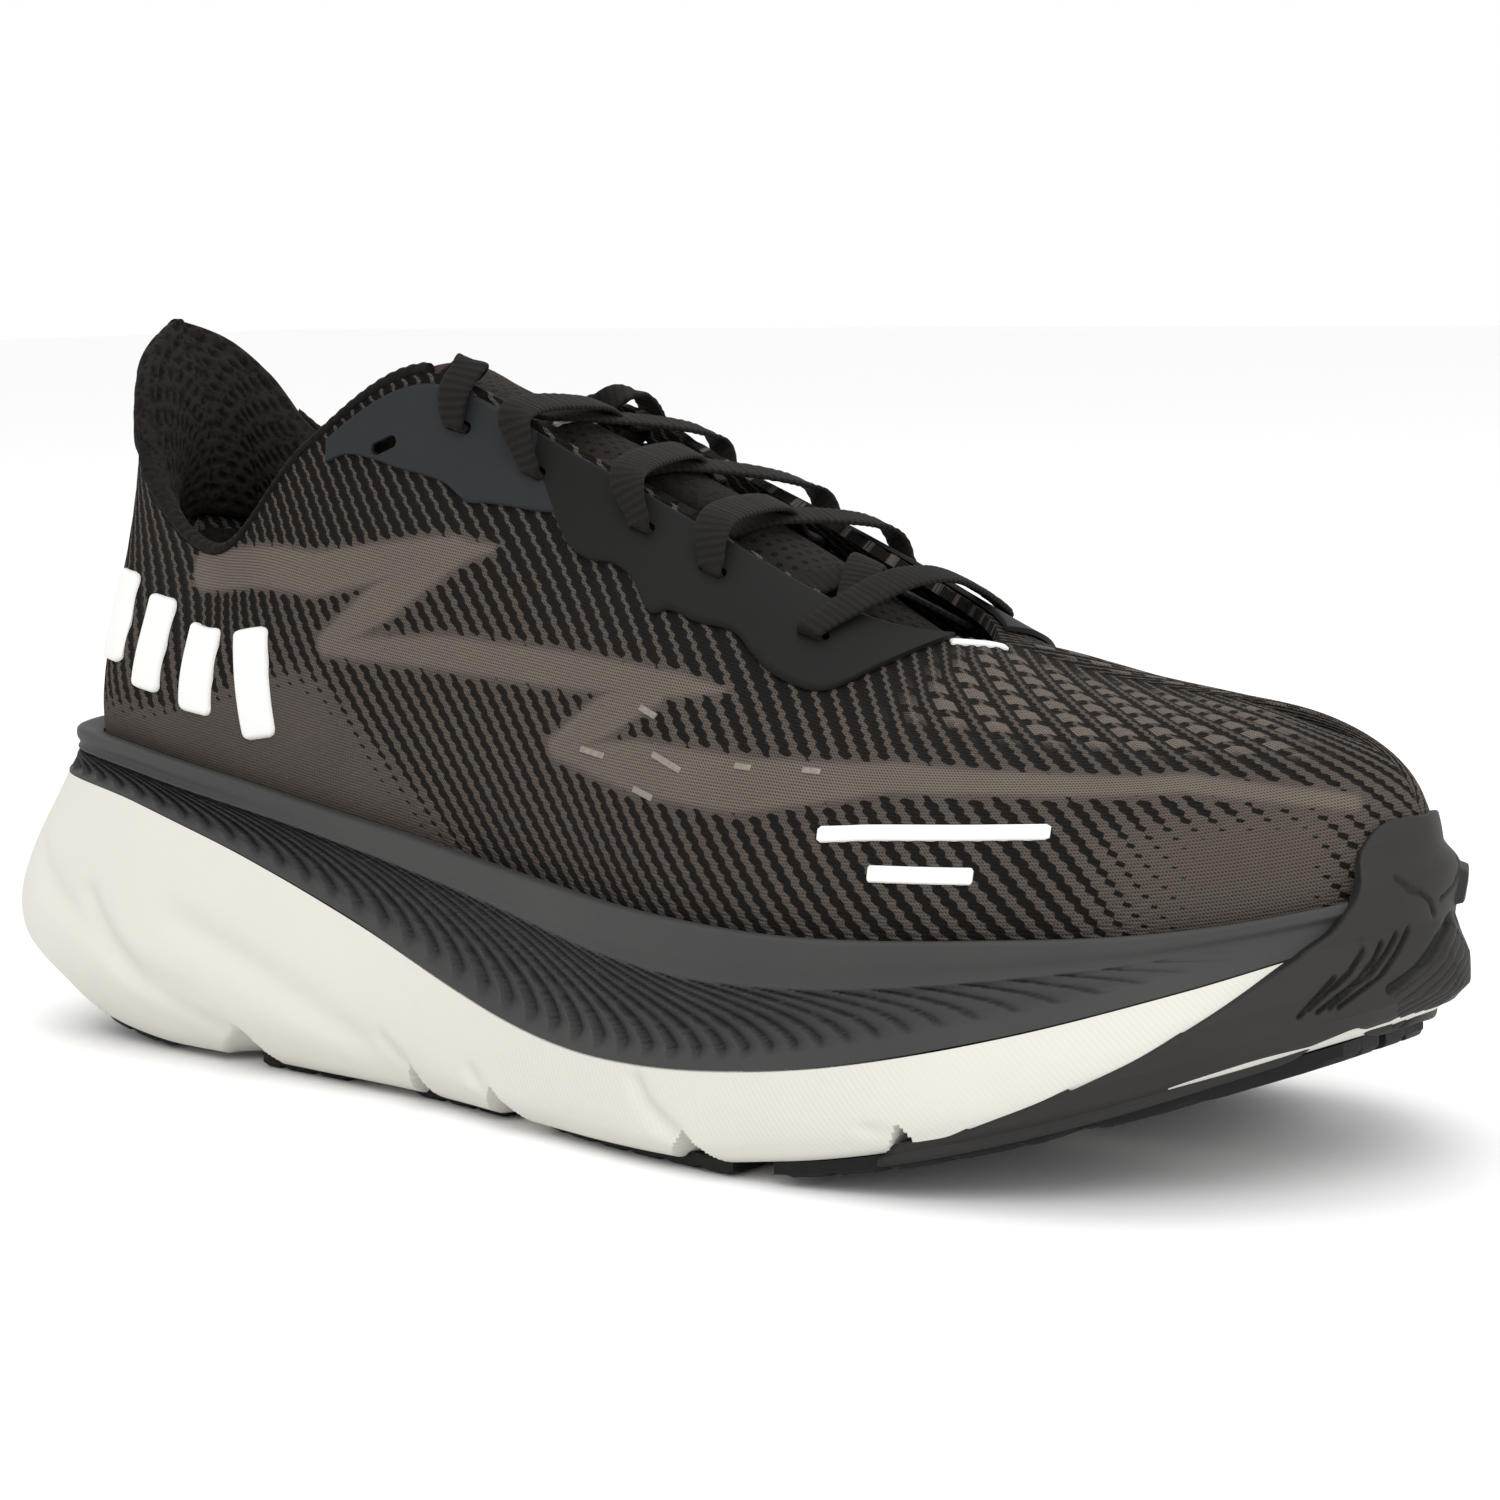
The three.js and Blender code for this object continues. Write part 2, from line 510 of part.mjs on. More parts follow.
function smooth(list) {
  const rows = list.map(([p, w, width]) => [p.x, p.y, p.z, w.x, w.y, w.z, width]);
  return range(0, rows.length - 1, (rows.length - 1) * 2).map((w) => along(rows, w));
}
function lacePath() {
  const outer = halfLace(-1);
  const inner = halfLace(1);
  const [start, startAxis] = outer[0];
  const [end, endAxis] = inner[0];
  const lift = new THREE.Vector3(0.4, 0, 1);
  const bar = [0.3, 0.5, 0.7].map((t) => {
    const p = lerp(start, end, t).addScaledVector(lift, 7.2 * Math.sin(Math.PI * t));
    return [p, lerp(startAxis, endAxis, t), LACE_W];
  });
  return [...outer.reverse(), ...bar, ...inner];
}
function laceBody() {
  const rows = smooth(lacePath());
  const centre = rows.map((r) => new THREE.Vector3(r[0], r[1], r[2]));
  const sections = rows.map((r, i) => {
    const ahead = centre[Math.min(i + 1, rows.length - 1)];
    const t = ahead.clone().sub(centre[Math.max(i - 1, 0)]).normalize();
    const w = new THREE.Vector3(r[3], r[4], r[5]);
    w.addScaledVector(t, -w.dot(t)).normalize();
    const n = t.clone().cross(w).multiplyScalar(LACE_T / 2);
    const half = w.multiplyScalar(r[6] / 2);
    const corners = [[-1, -0.6], [-0.8, -1], [0.8, -1], [1, -0.6], [1, 0.6], [0.8, 1], [-0.8, 1], [-1, 0.6]];
    return corners.map(([a, b]) => centre[i].clone().addScaledVector(half, a).addScaledVector(n, b));
  });
  return loft(sections);
}
function aglet(side) {
  const path = halfLace(side);
  const [p] = path.at(-1);
  const [q] = path.at(-2);
  const dir = p.clone().sub(q).normalize();
  const g = new THREE.CylinderGeometry(AGLET_R, AGLET_R, AGLET_L, 10);
  g.applyQuaternion(new THREE.Quaternion().setFromUnitVectors(new THREE.Vector3(0, 1, 0), dir));
  const c = p.clone().addScaledVector(dir, AGLET_L / 2 + GAP);
  return g.translate(c.x, c.y, c.z);
}

// ---- assembly ------------------------------------------------------------------------------
const COLOURS = {
  foam: 0xeeece4,
  carrier: 0x4a4b4a,
  rubber: 0x1d1d1b,
  bumper: 0x3a3936,
  knit: 0x5a524c,
  film: 0x252524,
  tab: 0x363b3c,
  mesh: 0x1f1d1b,
  tongue: 0x2c2624,
  lace: 0x2a2523,
  mark: 0xf2f2ee,
  reflect: 0xa9a7a0,
  board: 0xcbbfa6,
  stiff: 0xd8d4c8,
  tip: 0x141414,
};
const shoe = new THREE.Group();
shoe.name = 'running_shoe';
function add(name, colour, geometry) {
  const flat = geometry.index ? geometry.toNonIndexed() : geometry;
  flat.deleteAttribute('normal');
  flat.deleteAttribute('uv');
  flat.computeVertexNormals();
  const material = new THREE.MeshStandardMaterial({ color: COLOURS[colour], roughness: 0.8 });
  const mesh = new THREE.Mesh(flat, material);
  mesh.name = name;
  shoe.add(mesh);
}

add('midsole_foam', 'foam', footSlab(midsoleRows));
add('carrier_foam', 'carrier', footSlab(carrierRows));
add('strobel_board', 'board', insideBoard(GAP, 1.6, BOARD_IN));
add('sockliner', 'mesh', insideBoard(2, 6.5, SOCKLINER_IN));
for (const [name, spec] of Object.entries(PADS)) add(name, 'rubber', pad(...spec));
add('toe_bumper', 'bumper', toeBumper());
add('knit_upper', 'knit', knitUpper());
add('quarter_lining', 'mesh', quarterLining());
add('heel_counter', 'stiff', heelCounter());
add('toe_puff', 'stiff', toePuff());
add('collar_pad', 'mesh', collarPad());
add('collar_binding', 'film', collarBinding());
add('eyestay_outer', 'film', eyestay(-1, 5.62, 8.75));
add('eyestay_tab_outer', 'tab', eyestay(-1, 4.2, 5.52));
add('eyestay_inner', 'film', eyestay(1, 5.62, 8.75));
add('eyestay_tab_inner', 'tab', eyestay(1, 4.2, 5.52));
add('tongue', 'tongue', tongueBody());
add('tongue_lace_loop', 'lace', tonguePatch(2.35, 2.9, -0.32, 0.32, 0.3, 0.3));
add('tongue_label', 'mark', tonguePatch(3.75, 4.05, -0.28, 0.28, 0.3, 0.3));
add('lace', 'lace', laceBody());
add('aglet_outer', 'tip', aglet(-1));
add('aglet_inner', 'tip', aglet(1));
HEEL_BARS.forEach((ends, k) => add(`heel_bar_${k + 1}`, 'mark', slantedBar(...ends, BAR_HALF)));
add('forefoot_dash_upper', 'mark', dash(8.62, 10.42, 0.365, 0.405));
add('forefoot_dash_lower', 'mark', dash(9.1, 9.95, 0.29, 0.295));
add('heel_reflector', 'reflect', patch(-0.3, 0.3, 0.72, 0.82, GAP, 1, 4, 2));

const box = new THREE.Box3().setFromObject(shoe);
const centre = box.getCenter(new THREE.Vector3());
for (const mesh of shoe.children) mesh.geometry.translate(-centre.x, -centre.y, -box.min.z);

export default shoe;
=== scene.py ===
# A right running shoe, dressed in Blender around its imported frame.
# The shoe's own coordinates are millimetres: x runs from heel to toe, -y is the outer side, z is up.
import json
import math
import bmesh
import bpy
import numpy as np
from mathutils import Matrix, Vector


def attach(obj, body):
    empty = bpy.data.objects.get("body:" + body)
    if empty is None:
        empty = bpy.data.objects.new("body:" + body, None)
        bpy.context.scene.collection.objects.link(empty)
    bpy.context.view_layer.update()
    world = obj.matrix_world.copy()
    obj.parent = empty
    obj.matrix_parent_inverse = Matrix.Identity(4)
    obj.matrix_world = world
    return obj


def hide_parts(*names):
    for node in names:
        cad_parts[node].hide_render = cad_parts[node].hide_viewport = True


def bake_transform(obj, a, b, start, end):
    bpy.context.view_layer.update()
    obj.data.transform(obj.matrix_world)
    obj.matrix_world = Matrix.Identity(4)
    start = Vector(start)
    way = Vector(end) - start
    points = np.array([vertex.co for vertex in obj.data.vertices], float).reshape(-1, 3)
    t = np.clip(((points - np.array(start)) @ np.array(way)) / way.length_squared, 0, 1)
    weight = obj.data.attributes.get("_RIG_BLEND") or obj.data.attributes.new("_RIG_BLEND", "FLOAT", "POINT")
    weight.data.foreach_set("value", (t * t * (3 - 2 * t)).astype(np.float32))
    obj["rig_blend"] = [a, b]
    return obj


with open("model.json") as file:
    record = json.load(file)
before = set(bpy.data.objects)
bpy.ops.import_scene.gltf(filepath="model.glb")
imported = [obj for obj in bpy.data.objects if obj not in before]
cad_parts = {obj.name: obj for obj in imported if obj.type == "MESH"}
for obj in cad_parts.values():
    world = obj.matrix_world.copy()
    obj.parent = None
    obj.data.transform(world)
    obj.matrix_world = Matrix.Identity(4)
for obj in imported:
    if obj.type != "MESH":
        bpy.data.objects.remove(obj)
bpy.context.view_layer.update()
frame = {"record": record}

# ---- driving sizes, as in the CAD part -------------------------------------------------------
PAD = 3.0            # thickness of the rubber outsole pads
KNIT = 2.0           # thickness of the knitted upper
GAP = 0.4            # clearance between neighbouring pieces
FLOOR = 6.0          # thickness of the carrier under the foot
LACE_W = 6.4         # width of the flat lace
LACE_T = 1.2         # its thickness
FEATHER_S = 0.15     # share of the upper that is sunk in the carrier
SUNK_IN = 1.5        # how far the sunk part draws in under the rim
N = 26               # stations round the footprint; 0 is the heel, 13 the toe
SIDE = 13            # stations along one side
DENSE = 1301         # points along one side of the footprint when its length is measured
NUDGE = 0.02         # how far to each side a surface is probed for its direction, in stations or shares

# The footprint as [x, y] rows from the heel to the toe, one row for each station.
OUTER = [[0, 0], [1, -24], [14, -41], [42, -46.5], [74, -47], [108, -48], [140, -52.5],
         [168, -58.5], [194, -61], [218, -60], [240, -54.5], [263.5, -43], [281.8, -21.5], [291, 1.5]]
INNER = [[1, 23], [14, 39], [42, 44], [74, 42.5], [108, 43], [140, 46],
         [168, 50], [194, 53.5], [217, 55], [240, 52.5], [261.5, 43], [280.5, 24]]
RING = OUTER + INNER[::-1]
# The top line as [x, y, z] rows, first round the collar and the throat, then over the vamp.
TOP_OUTER = [[12, 0, 133], [18, -13.5, 125], [31, -25, 105], [57, -32, 93], [78, -30, 112],
             [104, -25, 126], [136, -21, 113], [166, -20, 99.5], [194, -15, 86], [207, 3, 81]]
TOP_INNER = [[12, 0, 133], [16.5, 14, 127], [31, 25, 110], [57, 31, 96], [80, 29, 108],
             [104, 25, 119], [136, 22, 108], [166, 20, 96], [194, 15, 85], [207, 3, 81]]
CREST = [[194, -10, 85], [207, 3, 81], [221, 8, 76.5], [236, 11, 74], [250, 12.5, 72.3], [264, 12, 68.5]]
# How the upper's section leaves the sole and reaches the top line, one row for each station:
# [share of the rise, mm outwards] of the lower handle, [share of the rise, share inwards] of the upper one.
COLUMN = [[.40, -6, .35, -.1], [.40, -2, .35, 0], [.40, 2, .35, 0], [.40, 3, .35, .05],
          [.40, 2.5, .35, .1], [.42, 2, .30, .2], [.44, 2, .22, .35], [.46, 2, .15, .45],
          [.50, 2, .08, .52], [.54, 2, .02, .55], [.58, 2, 0, .6], [.60, 1.5, 0, .66],
          [.63, 1, 0, .72], [.65, 1, 0, .75]]
# Heights of the sole's edges along x, as [x, z] rows.
Z_BOTTOM = [[0, 13], [12, 6.5], [28, 2], [50, 0], [190, 0], [205, 1], [222, 3.8], [240, 8], [265, 15.5],
            [298, 27]]
Z_EDGE = [[0, 51], [20, 50], [40, 47.6], [60, 43], [80, 37.4], [100, 31], [125, 22.7], [143, 18.1],
          [160, 16.2], [180, 16.2], [200, 18], [220, 21.2], [245, 27.2], [268, 34.4], [282, 39.5], [298, 44]]
Z_RIM = [[0, 59], [30, 57], [60, 53], [100, 47], [150, 41.5], [200, 39], [240, 40.5], [270, 43], [298, 49]]
Z_FOOT = [[0, 33], [60, 33], [100, 32], [150, 31], [200, 29], [240, 30], [270, 34], [298, 42]]
# How far outside the footprint each edge of the sole lies along x, as [x, mm] rows.
IN_GROUND = [[0, -10], [40, -9], [100, -6], [150, -4], [200, -3], [260, -4], [298, -6]]
IN_BULGE = [[0, 2.6], [40, 2], [100, 0.4], [200, -0.2], [298, -0.4]]
IN_EDGE = [[0, -8], [40, -5], [100, -3], [200, -1.5], [260, -2], [298, -3]]
IN_RIM = [[0, -9.5], [40, -7.5], [100, -6], [200, -3.5], [260, -4], [292, -1.5]]
IN_FEATHER = [[0, -15], [40, -12.5], [100, -11], [200, -8.5], [260, -7.5], [280, -5.5], [292, -3]]
# The eyelets of the outer side as [station, height on the upper], from the vamp up; the inner side's are
# their mirror images.
EYELETS = [[7.85, 0.84], [7.1, 0.865], [6.55, 0.88], [5.75, 0.88], [5.25, 0.9]]
SPARE_EYELET = [4.72, 0.87]
CREST_START = 9      # station where both sides of the top line meet in front of the throat
# The tongue's sections as [x, z, half width, fall of its sides, thickness], from the toe end up.
TONGUE = [[213, 73.5, 14, 3, 2.2], [194, 82, 18, 8, 3], [166, 96.5, 22, 13, 3.6], [136, 109.5, 23, 16, 4.5],
          [112, 118.5, 22, 15, 5], [98, 123.5, 20, 11, 6], [91, 126, 17, 6, 5], [87.5, 127, 12, 2, 3]]


# ---- small maths -----------------------------------------------------------------------------
def catmull(table, w, closed=False):
    """Points of a Catmull-Rom curve through the rows of a table, at the parameters w."""
    t = np.asarray(table, float)
    n = len(t)
    w = np.asarray(w, float)
    if closed:
        w = np.mod(w, n)
        i = np.floor(w).astype(int) % n
        ids = [(i + k) % n for k in (-1, 0, 1, 2)]
    else:
        w = np.clip(w, 0, n - 1)
        i = np.minimum(np.floor(w).astype(int), n - 2)
        ids = [np.clip(i + k, 0, n - 1) for k in (-1, 0, 1, 2)]
    f = (w - np.floor(w) if closed else w - i)[..., None]
    a, b, c, d = (t[k] for k in ids)
    return 0.5 * (2 * b + (c - a) * f + (2 * a - 5 * b + 4 * c - d) * f ** 2
                  + (3 * b - a - 3 * c + d) * f ** 3)


def hermite(xs, ys, x):
    """A smooth curve through the values ys at the places xs, flat beyond its ends."""
    xs, ys = np.asarray(xs, float), np.asarray(ys, float)
    last = len(xs) - 1
    here = np.arange(last + 1)
    before, after = np.maximum(here - 1, 0), np.minimum(here + 1, last)
    tail = (1,) * (ys.ndim - 1)
    slope = (ys[after] - ys[before]) / (xs[after] - xs[before]).reshape(-1, *tail)
    c = np.clip(np.asarray(x, float), xs[0], xs[-1])
    i = np.clip(np.searchsorted(xs, c, side="right") - 1, 0, last - 1)
    h = xs[i + 1] - xs[i]
    f = (c - xs[i]) / h
    f, h = (np.reshape(v, np.shape(v) + tail) for v in (f, h))
    return ((2 * f ** 3 - 3 * f ** 2 + 1) * ys[i] + (f ** 3 - 2 * f ** 2 + f) * h * slope[i]
            + (3 * f ** 2 - 2 * f ** 3) * ys[i + 1] + (f ** 3 - f ** 2) * h * slope[i + 1])


def profile(table, x):
    """A smooth curve through the [x, value] rows of a table, flat beyond its ends."""
    rows = np.asarray(table, float)
    return hermite(rows[:, 0], rows[:, 1], x)


def step(a, b, x):
    """0 below a, 1 above b, smooth between them."""
    t = np.clip((np.asarray(x, float) - a) / (b - a), 0, 1)
    return t * t * (3 - 2 * t)


def bump(x, centre, width):
    """A smooth hill of height 1 round centre."""
    return np.exp(-((np.asarray(x, float) - centre) / width) ** 2)


def rounded(t):
    """A quarter circle: 0 up to 0, steep at first, level at 1 and beyond."""
    return np.sqrt(1 - (1 - np.clip(t, 0, 1)) ** 2)


def unit(v):
    """Vectors scaled to a length of 1."""
    return v / np.maximum(np.linalg.norm(v, axis=-1, keepdims=True), 1e-9)


def outwards(grid, inner):
    """Unit vectors square to a grid of points, pointing away from the grid inside it."""
    n = unit(np.cross(np.gradient(grid, axis=0), np.gradient(grid, axis=1)))
    return n * np.sign(np.einsum("ijk,ijk->", n[:, :inner.shape[1]], grid[:, :inner.shape[1]] - inner))


def travelled(points):
    """The length run from the first point to each point of a line."""
    return np.concatenate([[0], np.cumsum(np.linalg.norm(np.diff(points, axis=0), axis=1))])


def fold(u):
    """Stations of the inner side as the stations of the outer side across from them."""
    m = np.mod(u, N)
    return np.where(m <= SIDE, m, N - m)


def bottom_z(x):
    """Height of the outsole's underside."""
    return np.maximum(0, profile(Z_BOTTOM, x))


# ---- the shoe's surfaces ---------------------------------------------------------------------
def footprint(u, inset, z):
    """The footprint at stations u, moved out by inset and lifted to height z; both may depend on x."""
    u = np.asarray(u, float)
    p = catmull(RING, u, True)
    d = catmull(RING, u + NUDGE, True) - catmull(RING, u - NUDGE, True)
    n = unit(np.stack([d[..., 1], -d[..., 0]], -1))
    off = inset(p[..., 0]) if callable(inset) else np.broadcast_to(np.asarray(inset, float), u.shape)
    q = p + n * off[..., None]
    height = z(q[..., 0]) if callable(z) else np.broadcast_to(np.asarray(z, float), u.shape)
    return np.concatenate([q, height[..., None]], -1)


def outward(u):
    """Unit vectors pointing out of the footprint, level with the ground."""
    return footprint(u, 1.0, 0.0) - footprint(u, 0.0, 0.0)


def feather(u, more=0.0):
    """The line where the upper meets the sole's rim, moved out by more."""
    return footprint(u, lambda x: profile(IN_FEATHER, x) + more, lambda x: profile(Z_RIM, x))


def top_line(u):
    """The upper edge of the upper: the collar and the throat, then the crest of the vamp."""
    v = fold(u)
    outer, inner = (catmull(table, np.minimum(v, CREST_START)) for table in (TOP_OUTER, TOP_INNER))
    side = np.where((np.mod(u, N) <= SIDE)[..., None], outer, inner)
    return np.where((v > CREST_START)[..., None], catmull(CREST, np.maximum(v - 8, 0)), side)


def outer_skin(u, s):
    """The outside of the upper: u round the shoe, s from the sunk foot (0) to the top line (1)."""
    u, s = np.broadcast_arrays(np.asarray(u, float), np.asarray(s, float))
    foot = feather(u)
    sunk = footprint(u, lambda x: profile(IN_FEATHER, x) - SUNK_IN, lambda x: profile(Z_FOOT, x) + GAP)
    top = top_line(u)
    out = outward(u)
    c = catmull(COLUMN, fold(u))
    rise = top[..., 2] - foot[..., 2]
    p1 = foot + out * c[..., 1:2]
    p1[..., 2] = foot[..., 2] + c[..., 0] * rise
    p2 = top + (foot - top) * c[..., 3:4]
    p2[..., 2] = top[..., 2] - c[..., 2] * rise
    t = np.clip((s - FEATHER_S) / (1 - FEATHER_S), 0, 1)[..., None]
    r = 1 - t
    curve = foot * r ** 3 + p1 * 3 * r * r * t + p2 * 3 * r * t * t + top * t ** 3
    low = np.clip(s / FEATHER_S, 0, 1)[..., None]
    return np.where((s < FEATHER_S)[..., None], sunk + (foot - sunk) * low, curve)


def skin_normal(u, s):
    """Unit vectors square to the outside of the upper."""
    u, s = np.broadcast_arrays(np.asarray(u, float), np.asarray(s, float))
    high = np.minimum(s + NUDGE, 1)
    du = outer_skin(u + NUDGE, s) - outer_skin(u - NUDGE, s)
    ds = outer_skin(u, high) - outer_skin(u, high - 2 * NUDGE)
    return unit(np.cross(du, ds))


def skin(u, s, offset):
    """A point at a distance from the outside of the upper; along the vamp's crest both sides agree."""
    u, s = np.broadcast_arrays(np.asarray(u, float), np.asarray(s, float))
    n = skin_normal(u, s)
    share = step(0.93, 1.0, s) * step(8.6, 9.4, fold(u)) * 0.5
    n = unit(n * (1 - share)[..., None] + skin_normal(N - u, s) * share[..., None])
    return outer_skin(u, s) + n * np.asarray(offset, float)[..., None]


# ---- from the shoe's coordinates to Blender ----------------------------------------------------
GROUND_POINT = (172.0, -30.0)     # the ground mount's place in the shoe's own coordinates
ground = frame["record"]["mounts"][0]["pos_m"]
CENTRE = np.array([GROUND_POINT[0] - ground[0] * 1000, GROUND_POINT[1] - ground[1] * 1000, 0.0])


def to_frame(points):
    """Places given in the shoe's own coordinates, in metres of the frame."""
    return (np.asarray(points, float) - CENTRE) * 0.001


def mesh_object(name, points, quads, weld=False, attributes=None, sharp=50):
    """An object from points in the shoe's coordinates and four-cornered faces, turned to face outwards."""
    p = to_frame(points).reshape(-1, 3)
    q = np.asarray(quads, np.int64).reshape(-1, 4)
    centre = p.mean(0)
    a, b, c, d = (p[q[:, k]] - centre for k in range(4))
    volume = sum(np.einsum("ij,ij->i", a, np.cross(*pair)).sum() for pair in ((b, c), (c, d)))
    if volume < 0:
        q = q[:, ::-1]
    mesh = bpy.data.meshes.new(name)
    mesh.vertices.add(len(p))
    mesh.vertices.foreach_set("co", p.astype(np.float32).ravel())
    mesh.loops.add(q.size)
    mesh.loops.foreach_set("vertex_index", q.astype(np.int32).ravel())
    mesh.polygons.add(len(q))
    mesh.polygons.foreach_set("loop_start", np.arange(0, q.size, 4, dtype=np.int32))
    mesh.update(calc_edges=True)
    for key, values in (attributes or {}).items():
        layer = mesh.attributes.new(key, "FLOAT", "POINT")
        layer.data.foreach_set("value", np.asarray(values, np.float32).ravel())
    if weld:
        work = bmesh.new()
        work.from_mesh(mesh)
        bmesh.ops.remove_doubles(work, verts=work.verts, dist=2e-6)
        bmesh.ops.dissolve_degenerate(work, edges=work.edges, dist=1e-7)
        work.to_mesh(mesh)
        work.free()
    mesh.validate()
    mesh.shade_smooth()
    mesh.set_sharp_from_angle(angle=math.radians(sharp))
    piece = bpy.data.objects.new(name, mesh)
    bpy.context.scene.collection.objects.link(piece)
    return piece


def shell(name, outer, inner, ring=False, keep=None, seam=None, attributes=None, sharp=50):
    """A closed thin body between two grids of points. keep masks its cells; seam marks the columns whose
    last outer points are those of their mirror columns, so that both sides meet."""
    nu, nv = outer.shape[:2]
    cols = nu if ring else nu - 1
    index = np.arange(nu * nv).reshape(nu, nv)
    if seam is not None:
        mirror = (-np.arange(nu)) % nu
        top = index[:, -1].copy()
        swap = seam & (np.arange(nu) > mirror)
        index[swap, -1] = top[mirror[swap]]
    if keep is None:
        keep = np.ones((cols, nv - 1), bool)
    i, j = np.nonzero(keep)
    k = (i + 1) % nu
    a, b, c, d = index[i, j], index[k, j], index[k, j + 1], index[i, j + 1]
    under = nu * nv
    faces = [np.stack([a, b, c, d], 1), np.stack([a, d, c, b], 1) + under]

    def wall(first, second):
        """Joins the two grids along an open side of some cells."""
        faces.append(np.stack([first, first + under, second + under, second], 1))

    def there(ii, jj):
        """Which of these cells are part of the body."""
        if ring:
            ii = ii % nu
        inside = (ii >= 0) & (ii < cols) & (jj >= 0) & (jj < nv - 1)
        return inside & keep[np.clip(ii, 0, cols - 1), np.clip(jj, 0, nv - 2)]

    low, high = ~there(i, j - 1), ~there(i, j + 1)
    if seam is not None:
        high &= ~((j == nv - 2) & seam[i] & seam[k])
    before, after = ~there(i - 1, j), ~there(i + 1, j)
    wall(a[low], b[low])
    wall(c[high], d[high])
    wall(d[before], a[before])
    wall(b[after], c[after])
    quads = np.concatenate(faces)
    points = np.concatenate([outer.reshape(-1, 3), inner.reshape(-1, 3)])
    doubled = {key: np.concatenate([v.ravel(), v.ravel()]) for key, v in (attributes or {}).items()}
    used = np.zeros(len(points), bool)
    used[quads.ravel()] = True
    number = np.cumsum(used) - 1
    return mesh_object(name, points[used], number[quads],
                       attributes={key: v[used] for key, v in doubled.items()}, sharp=sharp)


def slab(name, rows, attributes=None, sharp=50):
    """A closed body whose rows run, at each station of the whole ring, from one middle line to the other."""
    nu, nv = rows.shape[:2]
    i, j = np.meshgrid(np.arange(nu), np.arange(nv - 1), indexing="ij")
    k = (i + 1) % nu
    quads = np.stack([i * nv + j, k * nv + j, k * nv + j + 1, i * nv + j + 1], -1).reshape(-1, 4)
    return mesh_object(name, rows, quads, weld=True, attributes=attributes, sharp=sharp)


def loft(name, sections, attributes=None, sharp=50):
    """A solid skinned over closed cross-sections, with its ends capped by a small dome of quads."""
    ns, m = sections.shape[:2]
    i, j = np.meshgrid(np.arange(ns - 1), np.arange(m), indexing="ij")
    k = (j + 1) % m
    quads = [np.stack([i * m + j, (i + 1) * m + j, (i + 1) * m + k, i * m + k], -1).reshape(-1, 4)]
    half = m // 2
    for base, flip in ((0, False), ((ns - 1) * m, True)):
        for a in range(half - 1):
            corner = [base + a, base + a + 1, base + m - 2 - a, base + m - 1 - a]
            quads.append(np.array([corner[::-1] if flip else corner]))
    return mesh_object(name, sections, np.concatenate(quads), attributes=attributes, sharp=sharp)


def ring_length(u):
    """Arc length along the footprint from the heel to stations u, each on its own side."""
    dense = np.linspace(0, SIDE, DENSE)
    outer, inner = (travelled(catmull(RING, stations, True)) for stations in (dense, N - dense))
    m = np.mod(u, N)
    return np.where(m <= SIDE, np.interp(m, dense, outer), np.interp(N - m, dense, inner))


def even_stations(count):
    """Stations whose places along the footprint are about evenly spaced, the same on both sides."""
    dense = np.linspace(0, SIDE, DENSE)
    run = ring_length(dense)
    half = np.interp(np.linspace(0, run[-1], count // 2 + 1), run, dense)
    return np.concatenate([half, N - half[-2:0:-1]])


def distance_to_line(px, py, line):
    """Distance of points to a polyline, and where the nearest point lies along it."""
    best = np.full(np.shape(px), 1e9)
    where = np.zeros(np.shape(px))
    for k in range(len(line) - 1):
        (x0, y0), (x1, y1) = line[k], line[k + 1]
        dx, dy = x1 - x0, y1 - y0
        t = np.clip(((px - x0) * dx + (py - y0) * dy) / (dx * dx + dy * dy), 0, 1)
        far = np.hypot(px - x0 - t * dx, py - y0 - t * dy)
        nearer = far < best
        best = np.where(nearer, far, best)
        where = np.where(nearer, k + t, where)
    return best, where


# ---- sole ------------------------------------------------------------------------------------
COLUMNS = 1300     # columns of points round the sole and the upper
LIP = [[0, 1.3], [150, 1.3], [190, 2.0], [205, 2.8], [298, 2.8]]      # the foam's lower edge over the ground
# Notches in the foam's ground edge: [arc length, reach back, reach ahead, height].
NOTCHES = [(104, 10, 7, 8), (150, 2.5, 4, 6.5), (174, 4, 8, 6), (223, 4, 7, 5.5), (263.5, 2.5, 3, 5)]
NOTCH_DEPTH = 8.0
LIP_ROUND = 1.6          # radius of the foam's lower edge
SHELF = 9.0              # how far inside its edge the foam turns level under the foot
WALL_ROWS = 80           # rows of points up the foam's wall
# Soft creases in the foam, as lines of (arc length, height over the lower edge), half width and depth.
CREASES = [([(64, 30), (70, 24), (82, 14), (96, 8), (104, 6)], 2.4, 1.3),
           ([(82, 29), (106, 21), (128, 13), (146, 6)], 3.2, 1.2),
           ([(40, 34), (56, 26), (80, 17), (100, 11)], 2.8, 0.9),
           ([(141, 12), (147, 8), (151, 5)], 1.6, 1.0), ([(165, 10), (172, 5)], 1.4, 0.8),
           ([(209, 14), (214, 9), (219, 6), (223, 4)], 1.5, 1.1), ([(255, 6), (262, 3.5)], 1.2, 0.6)]


def wall_points(u, levels, insets, f, z_low, z_high):
    """A wall between two heights; insets(x) gives how far out it lies at a few levels of f."""
    base = catmull(RING, u, True)[:, 0]
    off = np.moveaxis(hermite(levels, np.stack(insets(base)), f), 0, 1)
    share = np.broadcast_to(f, off.shape)
    p = footprint(np.repeat(u, len(f)), off.ravel(), 0.0).reshape(len(u), len(f), 3)
    low, high = z_low(p[..., 0]), z_high(p[..., 0])
    p[..., 2] = low + share * (high - low)
    return p


